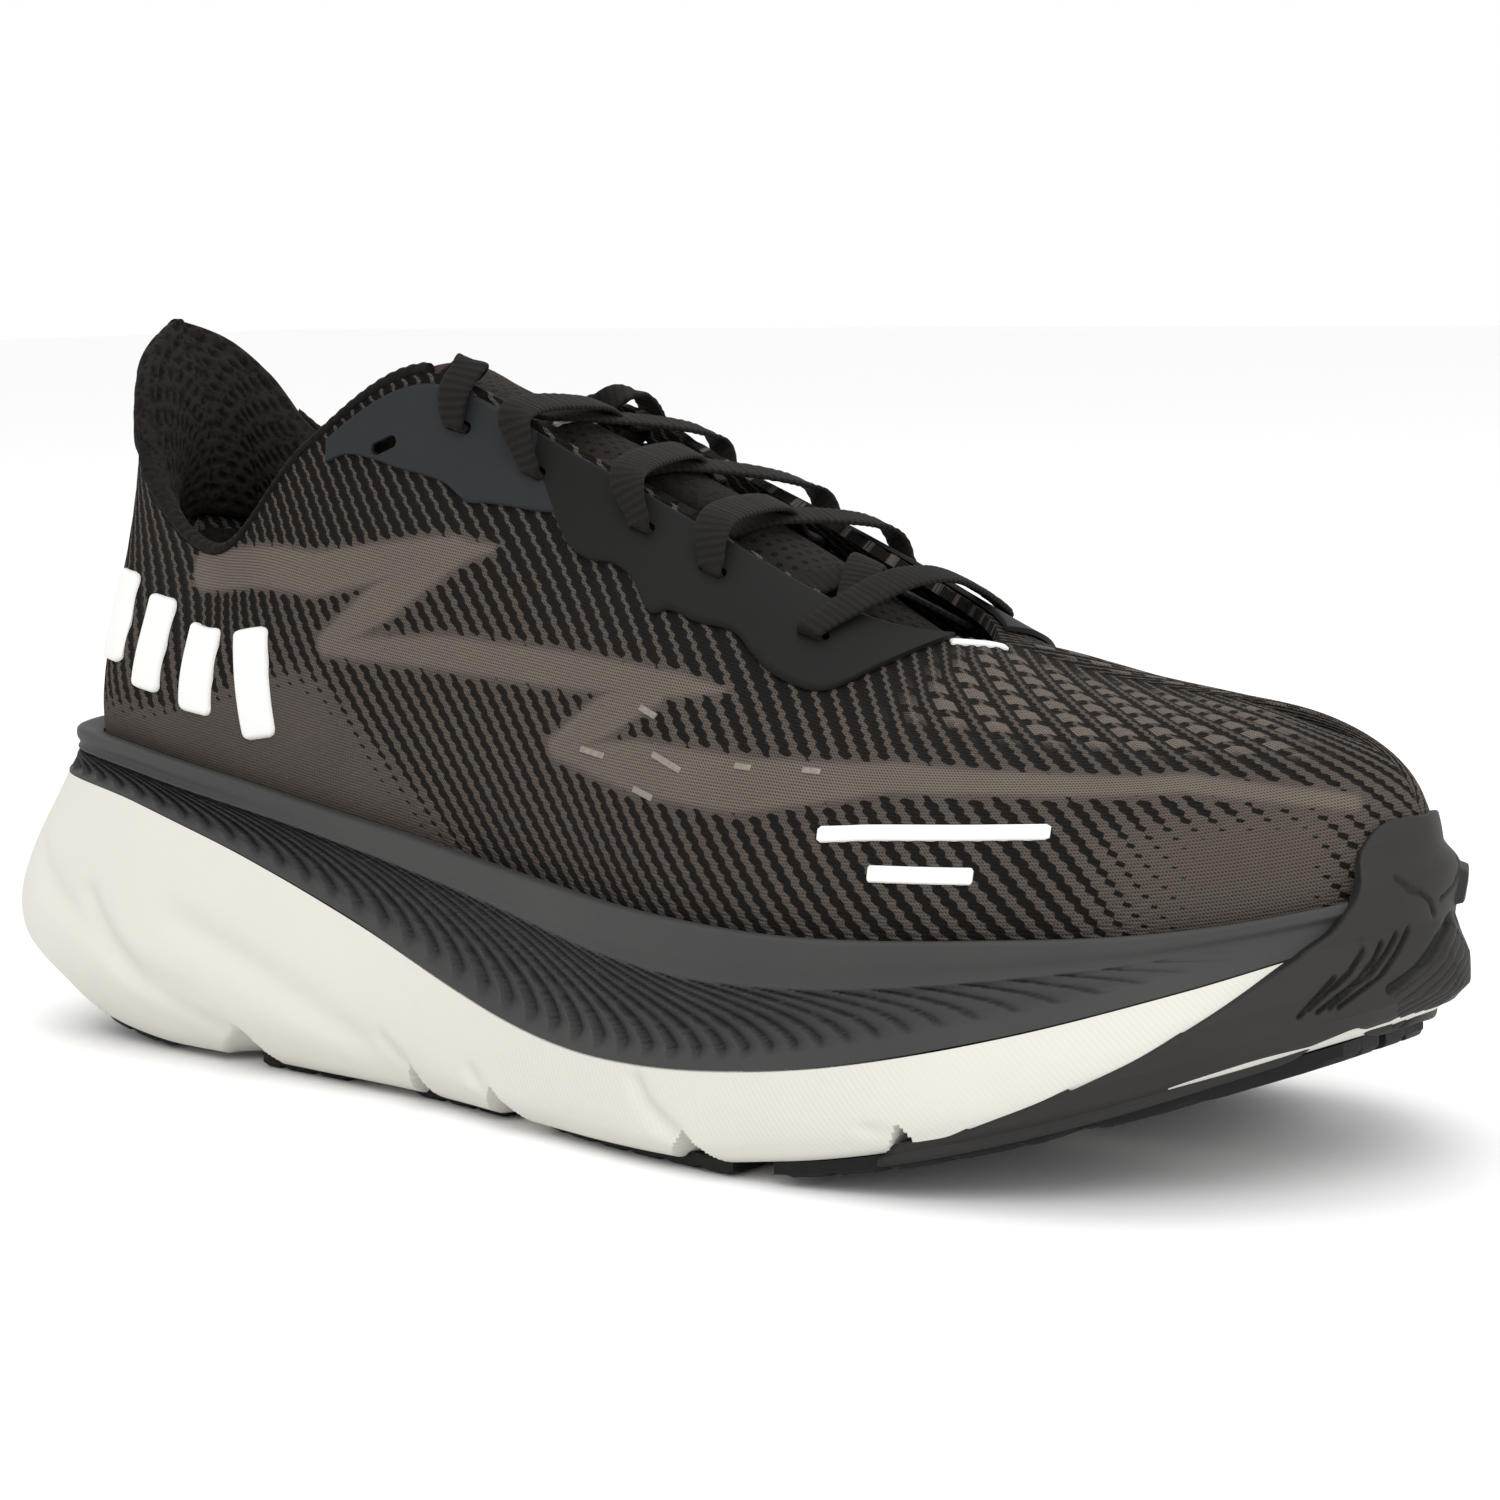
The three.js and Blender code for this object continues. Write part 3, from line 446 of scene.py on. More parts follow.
def to_middle(edge, shares):
    """Rows from the middle line out to an edge row; shares run from 0 at the middle to 1 at the edge."""
    rows = np.repeat(edge[:, None, :], len(shares), 1)
    rows[..., 1] *= np.asarray(shares)[None, :]
    return rows


def ground_inset(x):
    """How far outside the footprint the foam's lower edge lies."""
    return profile(IN_GROUND, x)


WALL_LEVELS = [0, 0.1, 0.3, 0.6, 1]     # shares of the foam wall's height where its insets are given


def foam_insets(x):
    """How far outside the footprint the foam's wall lies at each of the WALL_LEVELS."""
    ground, bulge, edge = ground_inset(x), profile(IN_BULGE, x), profile(IN_EDGE, x)
    return [ground, 0.5 * ground, bulge, bulge * 0.6 + edge * 0.12, edge]


def carrier_insets(x):
    """The same for the carrier's wall, at its CARRIER_LEVELS."""
    edge, rim = profile(IN_EDGE, x), profile(IN_RIM, x)
    return [edge, 0.5 * (edge + rim) - 0.5, rim - 0.6, rim]


def lip_z(x):
    """Height of the foam's lower edge."""
    return bottom_z(x) + profile(LIP, x)


def midsole():
    """The white foam: one wall all round, cut by notches and creases, with a flat top and underside."""
    u = even_stations(COLUMNS)
    f = np.linspace(0, 1, WALL_ROWS)
    wall = wall_points(u, WALL_LEVELS, foam_insets, f, lip_z, lambda x: profile(Z_EDGE, x))
    run = ring_length(u)[:, None]
    height = wall[..., 2] - wall[:, :1, 2]
    deep = np.zeros(height.shape)
    for at, back, ahead, tall in NOTCHES:
        reach = np.clip(1 - height / tall, 0, 1)
        side = np.where(run < at, back, ahead)
        inside = np.clip(1 - np.abs(run - at) / np.maximum(side * reach, 0.05), 0, 1)
        deep += NOTCH_DEPTH * np.sqrt(inside * reach)
    for line, width, depth in CREASES:
        far, where = distance_to_line(run + 0 * height, height, line)
        fade = step(0, 0.5, where) * (1 - 0.5 * step(len(line) - 1.5, len(line) - 1, where))
        deep += depth * fade * np.exp(-(far / width) ** 2)
    # The foam bulges a little between the notches.
    first, second = NOTCHES[0][0], NOTCHES[1][0]
    pods = np.sin(math.pi * np.clip((run - first) / (second - first), 0, 3)) ** 2
    deep -= 0.8 * pods * bump(f[None, :], 0.2, 0.2) * step(100, 110, run) * (1 - step(238, 246, run))
    deep += LIP_ROUND * (1 - rounded(height / LIP_ROUND))
    wall = wall - outward(u)[:, None, :] * deep[..., None]
    inner = wall[:, 0] - outward(u) * 2.5
    inner[:, 2] = bottom_z(inner[:, 0]) + PAD
    under = to_middle(inner, [0, 0.3, 0.6, 0.85, 1])
    shelf = footprint(u, lambda x: profile(IN_EDGE, x) - SHELF, lambda x: profile(Z_FOOT, x) - FLOOR)
    rows = np.concatenate([under, wall, to_middle(shelf, [1, 0.6, 0])], 1)
    fields = {}
    for key, values in (("run", run), ("height", height)):
        fields[key] = np.zeros(rows.shape[:2])
        fields[key][:, under.shape[1]:under.shape[1] + WALL_ROWS] = values
    return slab("midsole", rows, attributes=fields)


# The flutes of the carrier: sweep along the shoe, spacing at their upper ends, reach and depth.
FLUTE_SWEEP = [[0, 5], [30, 9], [60, 20], [90, 30], [143, 40], [219, 44], [277, 22], [340, 16]]
FLUTE_PITCH = [[-10, 3.4], [10, 3.4], [50, 4.4], [100, 5.8], [165, 6.4], [230, 7.6], [340, 8]]
FLUTE_END = [[0, 0.97], [60, 0.95], [140, 0.95], [220, 0.93], [262, 0.75], [300, 0.6], [340, 0.5]]
FLUTE_DEPTH = [[0, 1.4], [50, 2.0], [140, 2.3], [230, 2.1], [290, 1.4], [330, 0.7]]
# Share of the carrier's wall taken by the smooth band under the rim.
BAND = [[0, 0.42], [70, 0.40], [93, 0.36], [117, 0.28], [145, 0.24], [170, 0.23], [200, 0.29], [225, 0.34],
        [340, 0.36]]
CARRIER_LEVELS = [0, 0.45, 0.75, 1]     # shares of its height where its insets are given
CARRIER_ROWS = 90


def flute_number(run, depth):
    """Counts the flutes: each leaves the band nearly level and curves down towards the white foam."""
    start = run - profile(FLUTE_SWEEP, run) * (1 - (1 - depth) ** 2.5)
    grid = np.arange(-60, 360, 0.5)
    return np.interp(start, grid, np.cumsum(0.5 / profile(FLUTE_PITCH, grid)))


def carrier():
    """The dark foam that holds the upper: a fluted wall, a rounded rim and the well for the foot."""
    u = even_stations(COLUMNS)
    f = np.linspace(0, 1, CARRIER_ROWS)
    wall = wall_points(u, CARRIER_LEVELS, carrier_insets, f, lambda x: profile(Z_EDGE, x) + 0.3,
                       lambda x: profile(Z_RIM, x))
    run = ring_length(u)[:, None]
    share = f[None, :]
    band = profile(BAND, run)
    depth = np.clip((1 - band - share) / (1 - band), 0, 1)
    end = profile(FLUTE_END, run)
    strength = step(0.0, 0.07, depth) * (1 - step(end - 0.16, end, depth)) * (1 - step(290, 325, run))
    phase = flute_number(run, depth)
    t = phase - np.floor(phase)
    # Each flute drops sharply behind the rim of the one before and rises again to its own rim.
    cut = step(0, 0.10, t) * (1 - t) ** 0.8
    deep = profile(FLUTE_DEPTH, run) * (0.35 + 0.65 * depth) * strength * cut
    # A bead along the smooth band's lower edge, and a soft hollow below it.
    deep = deep - 0.6 * bump(share, 1 - band, 0.05) * (1 - step(270, 300, run))
    deep = deep + 0.4 * np.sin(math.pi * depth) ** 1.3 * (1 - step(255, 300, run))
    # At the heel the rim overhangs a hollow.
    deep = deep + 0.8 * bump(share, 0.55, 0.07) * (1 - step(40, 70, run)) - 0.5 * bump(share, 0.85, 0.12)
    wall = wall - outward(u)[:, None, :] * deep[..., None]
    # Painted shade: groove is high just behind each flute's rim, where the wall drops, and darkens the
    # carrier's colour there.
    groove = strength * np.exp(-((t - 0.12) / 0.13) ** 2) * (0.5 + 0.5 * step(30, 80, run))
    lip_rows = []
    rim, inside = wall[:, -1], feather(u, GAP)
    for k in np.linspace(0.12, 1, 8):
        p = rim + (inside - rim) * (1 - math.cos(k * math.pi / 2))
        p[:, 2] = rim[:, 2] + 0.9 * math.sin(k * math.pi) + (inside[:, 2] - rim[:, 2]) * k
        lip_rows.append(p)
    well = footprint(u, lambda x: profile(IN_FEATHER, x) - SUNK_IN + GAP, lambda x: profile(Z_FOOT, x))
    edge = footprint(u, lambda x: profile(IN_EDGE, x) - SHELF, lambda x: profile(Z_FOOT, x) - FLOOR + 0.3)
    under = to_middle(edge, [0, 0.5, 1])
    rows = np.concatenate([under, wall, np.stack(lip_rows, 1), to_middle(well, [1, 0.5, 0])], 1)
    fields = {"groove": np.zeros(rows.shape[:2])}
    fields["groove"][:, under.shape[1]:under.shape[1] + CARRIER_ROWS] = groove
    return slab("carrier", rows, attributes=fields)


# ---- knitted upper ---------------------------------------------------------------------------
# The plain band that zigzags over the outer side, as [station, height, half width in mm] rows.
PLAIN_BAND = [[(2.86, .93, 4.4), (4.2, .66, 4.4), (5.2, .64, 3.2), (5.55, .68, .6)],
              [(5.3, .65, 3.0), (4.75, .545, 4.0), (4.36, .48, 2.4)],
              [(4.36, .475, 1.8), (5.3, .46, 3.4), (6.3, .52, 3.6), (7.2, .585, 2.4), (7.5, .615, .4)],
              [(7.0, .55, 3.4), (6.6, .46, 4.2), (6.2, .375, 2.0)],
              [(6.2, .37, 1.6), (7.0, .40, 5.0), (7.9, .44, 5.4), (9.1, .50, 3.4), (9.98, .52, 2.8),
               (11.3, .55, 2.2), (12.4, .47, 1.6)]]
# Where the dark columns start above the sole, as [station, height on the upper].
HEEL_PLAIN = [[0, 0.12], [2, 0.2], [3.2, 0.3], [3.8, 0.38], [4.3, 0.36], [4.7, 0.24], [5.2, 0.14],
              [5.8, 0.05], [7, 0.0]]
BAND_HALO = 1.8          # how far the dark columns fade out before the plain band
COLUMN_PITCH = 4.2       # spacing of the knitted columns along the shoe
COLUMN_LEAN = 0.9        # how far a column runs back for each millimetre up
ROW_PITCH = 1.75         # height of one knot of a column
COLUMN_SINK = 0.32       # how deep the groove along a dark column is
# The half length of a slot's straight part and its half width, in the knit and in the films over it.
KNIT_SLOT = (1.6, 1.75)
FILM_SLOT = (1.7, 1.2)
SLOT_REACH = (4.0, 7.0)  # how far from the surface the knit's and the films' slots are cut


def knit_fields(u, s, p):
    """What the knit's colours and relief depend on, at each point of the upper's grid."""
    rise = np.linalg.norm(np.diff(p, axis=1), axis=2)
    height = np.concatenate([np.zeros((len(u), 1)), np.cumsum(rise, 1)], 1)
    height = height - height[:, np.searchsorted(s, FEATHER_S)][:, None]
    run = ring_length(u)[:, None]
    uu = np.broadcast_to(fold(u)[:, None], height.shape)
    ss = np.broadcast_to(s[None, :], height.shape)
    column = (run + COLUMN_LEAN * height) / COLUMN_PITCH
    row = height / ROW_PITCH
    # Millimetres along and up, near enough, for measuring distances to the band.
    along, up = run + 0 * height, height
    plain, halo = np.zeros(height.shape), np.zeros(height.shape)
    for stroke in PLAIN_BAND:
        line, widths = [], []
        for v, level, half in stroke:
            c = np.argmin(np.abs(np.where(u <= SIDE, u, 99) - v))
            line.append((run[c, 0], np.interp(level, s, height[c])))
            widths.append(0.85 * half)
        far, where = distance_to_line(along, up, line)
        half = np.interp(where, np.arange(len(widths)), widths)
        plain = np.maximum(plain, 1 - step(half - 0.8, half + 0.8, far))
        halo = np.maximum(halo, 1 - step(half - 0.2, half + BAND_HALO, far))
    # How wide the dark columns are: none in the plain areas, fading in over a few millimetres.
    dark = 0.54 + 0.18 * step(0.5, 0.7, ss)
    low_heel = profile(HEEL_PLAIN, uu)
    dark *= step(low_heel - 0.03, low_heel + 0.1, ss)
    toe_fade = step(10.3, 11.6, uu) * (1 - step(0.36, 0.5, ss)) * (1 - 0.8 * step(12.0, 12.3, uu))
    dark *= 1 - toe_fade
    dark *= 1 - 0.25 * step(11.4, 12.6, uu)
    dark *= 1 - halo
    blocks = step(8.6, 9.2, uu) * (1 - step(11.9, 12.5, uu))
    blocks = blocks * step(0.62, 0.68, ss) * (1 - step(0.93, 0.98, ss))
    return {"column": column, "row": row, "dark": dark, "plain": plain, "blocks": blocks,
            "height": height, "run": along}


def eyelet_frames():
    """Each eyelet's middle on both sides, with its directions along the edge, across it and outwards."""
    for v, level in EYELETS + [SPARE_EYELET]:
        for side in (v, N - v):
            n = skin_normal(side, level)
            along = unit(outer_skin(side + 0.05, level) - outer_skin(side - 0.05, level))
            yield outer_skin(side, level), along, np.cross(n, along), n


def eyelet_mask(p):
    """Cells of the upper's grid that lie in an eyelet slot."""
    hole = np.zeros(p.shape[:2], bool)
    half_long, half_wide = KNIT_SLOT
    for here, along, across, n in eyelet_frames():
        d = p - here
        past = np.maximum(np.abs(d @ along) - half_long, 0)
        hole |= (np.abs(d @ n) < SLOT_REACH[0]) & (np.hypot(past, d @ across) < half_wide)
    return hole


def knit_upper():
    """The knitted upper, from its foot in the carrier to the top line; both sides join over the vamp."""
    u = even_stations(COLUMNS)
    s = np.concatenate([[0, 0.08], np.linspace(FEATHER_S - 0.02, 1, 150)])
    uu, ss = np.meshgrid(u, s, indexing="ij")
    base = outer_skin(uu, ss)
    fields = knit_fields(u, s, base)
    phase = fields["column"] - np.floor(fields["column"]) - 0.5
    groove = np.exp(-(phase / 0.22) ** 2) * np.clip(fields["dark"] * 2, 0, 1)
    hole = eyelet_mask(base)
    solid = ~(hole | np.roll(hole, -1, 0))
    return shell("knit_upper_shell", skin(uu, ss, -COLUMN_SINK * groove), skin(uu, ss, -KNIT), ring=True,
                 keep=solid[:, :-1] & solid[:, 1:], seam=fold(u) >= CREST_START, attributes=fields)


# ---- pieces that lie on the upper --------------------------------------------------------------
def patch(name, u, low, high, off_out, off_in, rows):
    """A thin piece on the upper between two edges; the offsets may be arrays over the patch's grid."""
    low, high = np.broadcast_to(low, u.shape), np.broadcast_to(high, u.shape)
    uu = np.repeat(u[:, None], rows, 1)
    ss = low[:, None] + (high - low)[:, None] * np.linspace(0, 1, rows)[None, :]
    return shell(name, skin(uu, ss, off_out + 0 * ss), skin(uu, ss, off_in + 0 * ss))


def pillow(nu, nv, edge_u, edge_v):
    """1 over the middle of a grid, falling in a quarter circle to 0 at its rims."""
    tu = np.linspace(0, 1, nu)[:, None]
    tv = np.linspace(0, 1, nv)[None, :]
    return rounded(np.minimum(tu, 1 - tu) / edge_u) * rounded(np.minimum(tv, 1 - tv) / edge_v)


def side_of(outer, v):
    """Stations on the outer or the inner side."""
    return np.asarray(v, float) if outer else N - np.asarray(v, float)


def cut_slots(piece):
    """Cuts the rounded eyelet slots through a film."""
    work = bmesh.new()
    turns = 20
    half_long, half_wide = FILM_SLOT
    for here, along, across, n in eyelet_frames():
        rims = []
        for depth in (-SLOT_REACH[1], SLOT_REACH[1]):
            rim = []
            for k in range(turns):
                a = 2 * math.pi * k / turns
                flat = here + n * depth + across * half_wide * math.sin(a)
                flat = flat + along * (half_wide * math.cos(a) + math.copysign(half_long, math.cos(a)))
                rim.append(work.verts.new(to_frame(flat)))
            rims.append(rim)
        for k in range(turns):
            m = (k + 1) % turns
            work.faces.new((rims[0][k], rims[0][m], rims[1][m], rims[1][k]))
        work.faces.new(rims[0][::-1])
        work.faces.new(rims[1])
    bmesh.ops.recalc_face_normals(work, faces=work.faces)
    mesh = bpy.data.meshes.new("slot_cutters")
    work.to_mesh(mesh)
    work.free()
    cutter = bpy.data.objects.new("slot_cutters", mesh)
    bpy.context.scene.collection.objects.link(cutter)
    modifier = piece.modifiers.new("slots", "BOOLEAN")
    modifier.operation = "DIFFERENCE"
    modifier.solver = "EXACT"
    modifier.object = cutter
    settle(piece)
    bpy.data.objects.remove(cutter)
    return piece


def settle(piece):
    """Applies every modifier of a piece to its mesh."""
    bpy.context.view_layer.update()
    shape = piece.evaluated_get(bpy.context.evaluated_depsgraph_get())
    made = bpy.data.meshes.new_from_object(shape)
    old = piece.data
    piece.modifiers.clear()
    piece.data = made
    bpy.data.meshes.remove(old)
    piece.data.name = piece.name


# The lower edge of each film on the outer side, as [station, height] points from the collar forward.
FILM_EDGE = [[5.74, .92], [5.84, .86], [6.04, .765], [6.22, .745], [6.45, .762], [6.62, .745], [6.8, .70],
             [6.95, .725], [7.15, .728], [7.4, .748], [7.58, .722], [7.75, .70], [8.0, .69], [8.2, .70],
             [8.33, .745], [8.5, .85], [8.6, .95]]
TAB_EDGE = [[4.22, .925], [4.4, .905], [4.6, .86], [4.82, .812], [5.0, .79], [5.18, .775], [5.3, .755],
            [5.36, .75], [5.5, .765], [5.75, .79], [5.92, .812], [6.05, .84], [6.1, .87], [6.04, .915]]
FILM_TOP = 0.978         # height on the upper where the films end, under the edge of the throat


def film(name, outer, edge, lift, thick):
    """A moulded film over the eyelets with a scalloped lower edge."""
    curve = catmull(edge, np.linspace(0, len(edge) - 1, 300))
    furthest = np.maximum.accumulate(curve[:, 0])
    keep = np.concatenate([[True], np.diff(furthest) > 1e-4])
    u, low = side_of(outer, furthest[keep]), curve[keep, 1]
    rows = 50
    dome = pillow(len(u), rows, 0.012, 0.05)
    high = np.maximum(FILM_TOP, low + 0.02)
    return cut_slots(patch(name, u, low, high, lift + 0.1 + thick * dome, lift, rows))


def bar(name, start, end, half, thick):
    """A flat printed stroke on the upper from (u, s) to (u, s); half is its half width in mm."""
    ends, count, rows = 0.35, 60, 16
    t = np.linspace(0, 1, count)
    k = np.linspace(-1, 1, rows)
    a, b = outer_skin(*start), outer_skin(*end)
    length = np.linalg.norm(b - a)
    uu, ss = (first + (last - first) * t[:, None] + 0 * k[None, :] for first, last in zip(start, end))
    e = 0.01
    du = (outer_skin(uu + e, ss) - outer_skin(uu - e, ss)) / (2 * e)
    ds = (outer_skin(uu, ss + e) - outer_skin(uu, ss - e)) / (2 * e)
    side = unit(np.cross(skin_normal(uu, ss), unit(b - a)))
    # The stroke narrows to rounded ends.
    wide = half * (1 - ends + ends * rounded(np.minimum(t, 1 - t) * length / (half * ends)))
    move = side * (wide[:, None] * k[None, :])[..., None]
    # Turn the sideways move into steps of u and s on the surface.
    uu_du, ss_ds, mixed, mu, ms = (np.einsum("ijk,ijk->ij", p, q)
                                   for p, q in ((du, du), (ds, ds), (du, ds), (move, du), (move, ds)))
    det = uu_du * ss_ds - mixed ** 2
    uu = uu + (mu * ss_ds - ms * mixed) / det
    ss = ss + (ms * uu_du - mu * mixed) / det
    dome = pillow(count, rows, min(0.45, 1 / length), 0.12)
    return shell(name, skin(uu, ss, 0.1 + thick * dome), skin(uu, ss, -0.5))


# Small reflective dashes on the outer side, as [station, height] of both ends.
SIDE_DASHES = [[6.45, .39, 6.68, .395], [7.12, .435, 7.38, .425], [7.0, .36, 7.18, .355],
               [6.93, .51, 7.08, .505], [7.80, .475, 7.93, .48], [8.33, .50, 8.48, .50]]
# Four slanted marks at the heel, as [station, height] of the foot and of the top.
HEEL_BARS = [[2.12, .39, 1.93, .68], [2.75, .37, 2.52, .74], [3.32, .32, 3.12, .68], [3.88, .26, 3.68, .58]]


# ---- lining, board, sock liner and stiffeners ----------------------------------------------------
def inside_board(name, low, high, inset, dip=0.0):
    """A flat piece under the foot; its middle may lie lower than its edge by dip."""
    u = even_stations(COLUMNS // 3)
    edge = footprint(u, lambda x: profile(IN_FEATHER, x) - inset, lambda x: profile(Z_FOOT, x))
    rows = [(share, low) for share in (0, 0.5, 1)]
    rows += [(1 + 0.006 * math.sin(k / 6 * math.pi), low + (high - low) * k / 6) for k in range(1, 6)]
    rows += [(share, high - dip * (1 - step(0.55, 1.0, share))) for share in np.linspace(1, 0, 24)]
    points = np.repeat(edge[:, None], len(rows), 1)
    for k, (share, lift) in enumerate(rows):
        points[:, k, 1] *= share
        points[:, k, 2] += lift
    return slab(name, points)


def eyelet_backing(name, outer):
    """A small tape behind the spare eyelet."""
    v, level = SPARE_EYELET
    u = side_of(outer, np.linspace(v - 0.3, v + 0.3, 30))
    return patch(name, u, level - 0.06, min(level + 0.06, 0.985), -KNIT - 0.2, -KNIT - 0.7, 20)


# ---- padded collar -----------------------------------------------------------------------------
COLLAR_HALF = 4.1        # stations on each side of the heel that the padding covers
COLLAR_LEAST = 2.7       # least distance of the padding's face from the outside of the upper
COLLAR_SWELL = 6.0       # how much further it swells in the middle
COLLAR_BACK = 2.3        # distance of its hidden back
DIMPLE = 4.2             # spacing of the dimples in the spacer mesh
DIMPLE_ROW = 0.62        # height of a row of dimples, as a share of that
DIMPLE_DEPTH = 0.55
WRAP_HALF = 1.5          # stations on each side of the heel where the mesh wraps over the rim
WRAP_DROP = 0.09         # how far it reaches down the outside, as a share of the upper's height


def collar():
    """Foam padding inside the collar, rolled over the rim at the heel tab; pressed into rows of dimples."""
    count, rows, cap, fall = ((520, 150, 20, 22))
    u = np.linspace(-COLLAR_HALF, COLLAR_HALF, count)
    uu, ss = np.meshgrid(u, np.linspace(0.575, 0.995, rows), indexing="ij")
    t = np.clip((ss - 0.57) / 0.43, 0, 1)
    wrap = 1 - step(WRAP_HALF - 0.15, WRAP_HALF + 0.3, np.abs(u))
    ends = np.clip((COLLAR_HALF - np.abs(uu)) / 0.5, 0, 1)
    swell = COLLAR_SWELL * np.sin(math.pi * t) ** 0.6
    thick = np.maximum(COLLAR_LEAST, COLLAR_LEAST + (swell - 0.2) * rounded(ends))
    inside, hidden_in = skin(uu, ss, -thick), skin(uu, ss, np.full(uu.shape, -COLLAR_BACK))
    rim, n = outer_skin(u, 1.0), skin_normal(u, 1.0)
    up = unit(rim - outer_skin(u, 0.97))
    lift, out = 0.4 + 1.9 * wrap, -1.6 + 2.7 * wrap
    inner_off = -thick[:, -1]
    seen, hidden = [], []
    for k in np.linspace(0.08, 1, cap):
        a = math.pi * k
        off = (inner_off + out) / 2 - (out - inner_off) / 2 * math.cos(a)
        seen.append(rim + n * off[:, None] + up * (lift * math.sin(a))[:, None])
        low_off = -COLLAR_BACK + (out - 0.7 * wrap + 2.2) * k
        hidden.append(rim + n * low_off[:, None] + up * (0.25 * math.sin(a) * (1 + wrap))[:, None])
    drop = WRAP_DROP * wrap
    for k in np.linspace(0.05, 1, fall):
        level = 1 - drop * k - 0.002 * k
        roll = math.sqrt(1 - k ** 6) if k < 1 else 0.0
        seen.append(skin(u, level, out * roll + 0.35 * (1 - roll)))
        hidden.append(skin(u, level, np.minimum(out - 0.4, 0.25)))
    outer = np.concatenate([inside, np.stack(seen, 1)], 1)
    inner = np.concatenate([hidden_in, np.stack(hidden, 1)], 1)
    run = travelled(outer[:, rows // 2])
    climb = np.cumsum(np.linalg.norm(np.diff(outer, axis=1), axis=2), 1)
    rise = np.concatenate([np.zeros((count, 1)), climb], 1)
    rise = rise - rise[:, rows:rows + 1]
    # Dimples in staggered rows, measured from the middle of the heel and from the rim.
    a = (run - run[-1] / 2)[:, None] / DIMPLE + 0 * rise
    b = rise / (DIMPLE * DIMPLE_ROW)
    row = np.floor(b)
    cell_a = a + 0.5 * np.mod(row, 2)
    da = (cell_a - np.floor(cell_a) - 0.5) * 2
    db = (b - row - 0.5) * 2
    dimple = np.clip(1 - (da / 0.72) ** 2 - (db / 0.75) ** 2, 0, 1)
    shown = np.zeros(rise.shape)
    shown[:, :rows] = step(0.0, 0.06, t) * (1 - (1 - wrap[:, None]) * step(0.9, 0.97, t))
    shown[:, rows:] = wrap[:, None]
    shown[:, -4:] = 0
    outer = outer - outwards(outer, inner[:, :rows]) * (DIMPLE_DEPTH * dimple * shown)[..., None]
    return shell("collar_padding", outer, inner, attributes={"dimple": dimple * shown}, sharp=70)


def binding(name, start, end):
    """The rolled tape along the top line, from the heel tab to the lace opening."""
    u = np.linspace(start, end, 240)
    n = skin_normal(u, 1.0)
    top = outer_skin(u, 1.0)
    up = unit(top - outer_skin(u, 0.97))
    angle = np.linspace(0, 2 * math.pi, 18, endpoint=False)
    ridge = 1 + 0.06 * np.sin(np.arange(len(u)) * 1.1)
    near_tab = np.clip(np.abs(u) - WRAP_HALF, 0, 0.7) / 0.7
    size = (0.45 + 0.55 * near_tab) * ridge
    sections = []
    for a in angle:
        wide, tall = -1.0 + 1.6 * math.cos(a), 0.75 + 1.2 * math.sin(a)
        sections.append(top + n * (wide * size)[:, None] + up * (tall * size)[:, None])
    return loft(name, np.stack(sections, 1))


# ---- tongue ------------------------------------------------------------------------------------
def tongue_frame(w):
    """The tongue's section at w, and the direction up from it."""
    row = catmull(TONGUE, w)
    ahead = catmull(TONGUE, w + 0.05) - catmull(TONGUE, w - 0.05)
    n = unit(np.stack([-ahead[..., 1], 0 * ahead[..., 1], ahead[..., 0]], -1))
    return row, n * np.sign(n[..., 2:3])


def tongue_point(w, across, depth):
    """A point of the tongue: w along it, across from -1 to 1, depth from 0 at its top to 1 below."""
    w, across, depth = np.broadcast_arrays(np.asarray(w, float), across, depth)
    row, n = tongue_frame(w)
    p = np.stack([row[..., 0], across * row[..., 2], row[..., 1] - row[..., 3] * across ** 2], -1)
    return p - n * (depth * row[..., 4])[..., None]


def squared(c):
    """Turns a circle's cosine or sine into that of a rounded oblong."""
    return np.sign(c) * np.abs(c) ** 0.55


def tongue():
    """The padded tongue, with a sewn channel inside its edge."""
    count, rows = 240, 90
    w = np.linspace(0, 7, count)
    angle = np.linspace(0, 2 * math.pi, rows, endpoint=False)
    across = squared(np.cos(angle))
    depth = 0.5 - 0.5 * squared(np.sin(angle))
    p = tongue_point(w[:, None], across[None, :], depth[None, :])
    row, n = tongue_frame(w)
    # A stitched channel along both sides; the perforations are only in the field between them.
    upper = np.clip(1 - depth * 2, 0, 1)[None, :]
    border = bump(np.abs(across)[None, :], 0.78, 0.06) * step(0.3, 0.8, w)[:, None]
    p = p - n[:, None, :] * (0.7 * border * upper)[..., None]
    field = (1 - step(0.66, 0.78, np.abs(across)))[None, :] * upper
    along = travelled(p[:, 0])
    side = across[None, :] * row[:, 2][:, None]
    rim = step(5.9, 6.7, w)[:, None] + step(0.84, 0.93, np.abs(across))[None, :]
    fields = {"along": along[:, None] + 0 * p[..., 0], "side": side, "field": field + 0 * p[..., 0],
              "rim": np.clip(rim, 0, 1) + 0 * p[..., 0]}
    return loft("tongue_padding", p, attributes=fields, sharp=80)


def on_tongue(name, w0, w1, half, lift, thick):
    """A thin piece on the tongue from w0 to w1, half its width each way as a share of the tongue's."""
    count, rows = 40, 16
    t = np.linspace(w0, w1, count)
    k = np.linspace(-half, half, rows)
    base = tongue_point(t[:, None], k[None, :], 0.0)
    n = unit(base - tongue_point(t[:, None], k[None, :], 1.0))
    dome = pillow(count, rows, 0.12, 0.12)
    return shell(name, base + n * (lift + thick * dome)[..., None], base + n * (lift - 0.5))


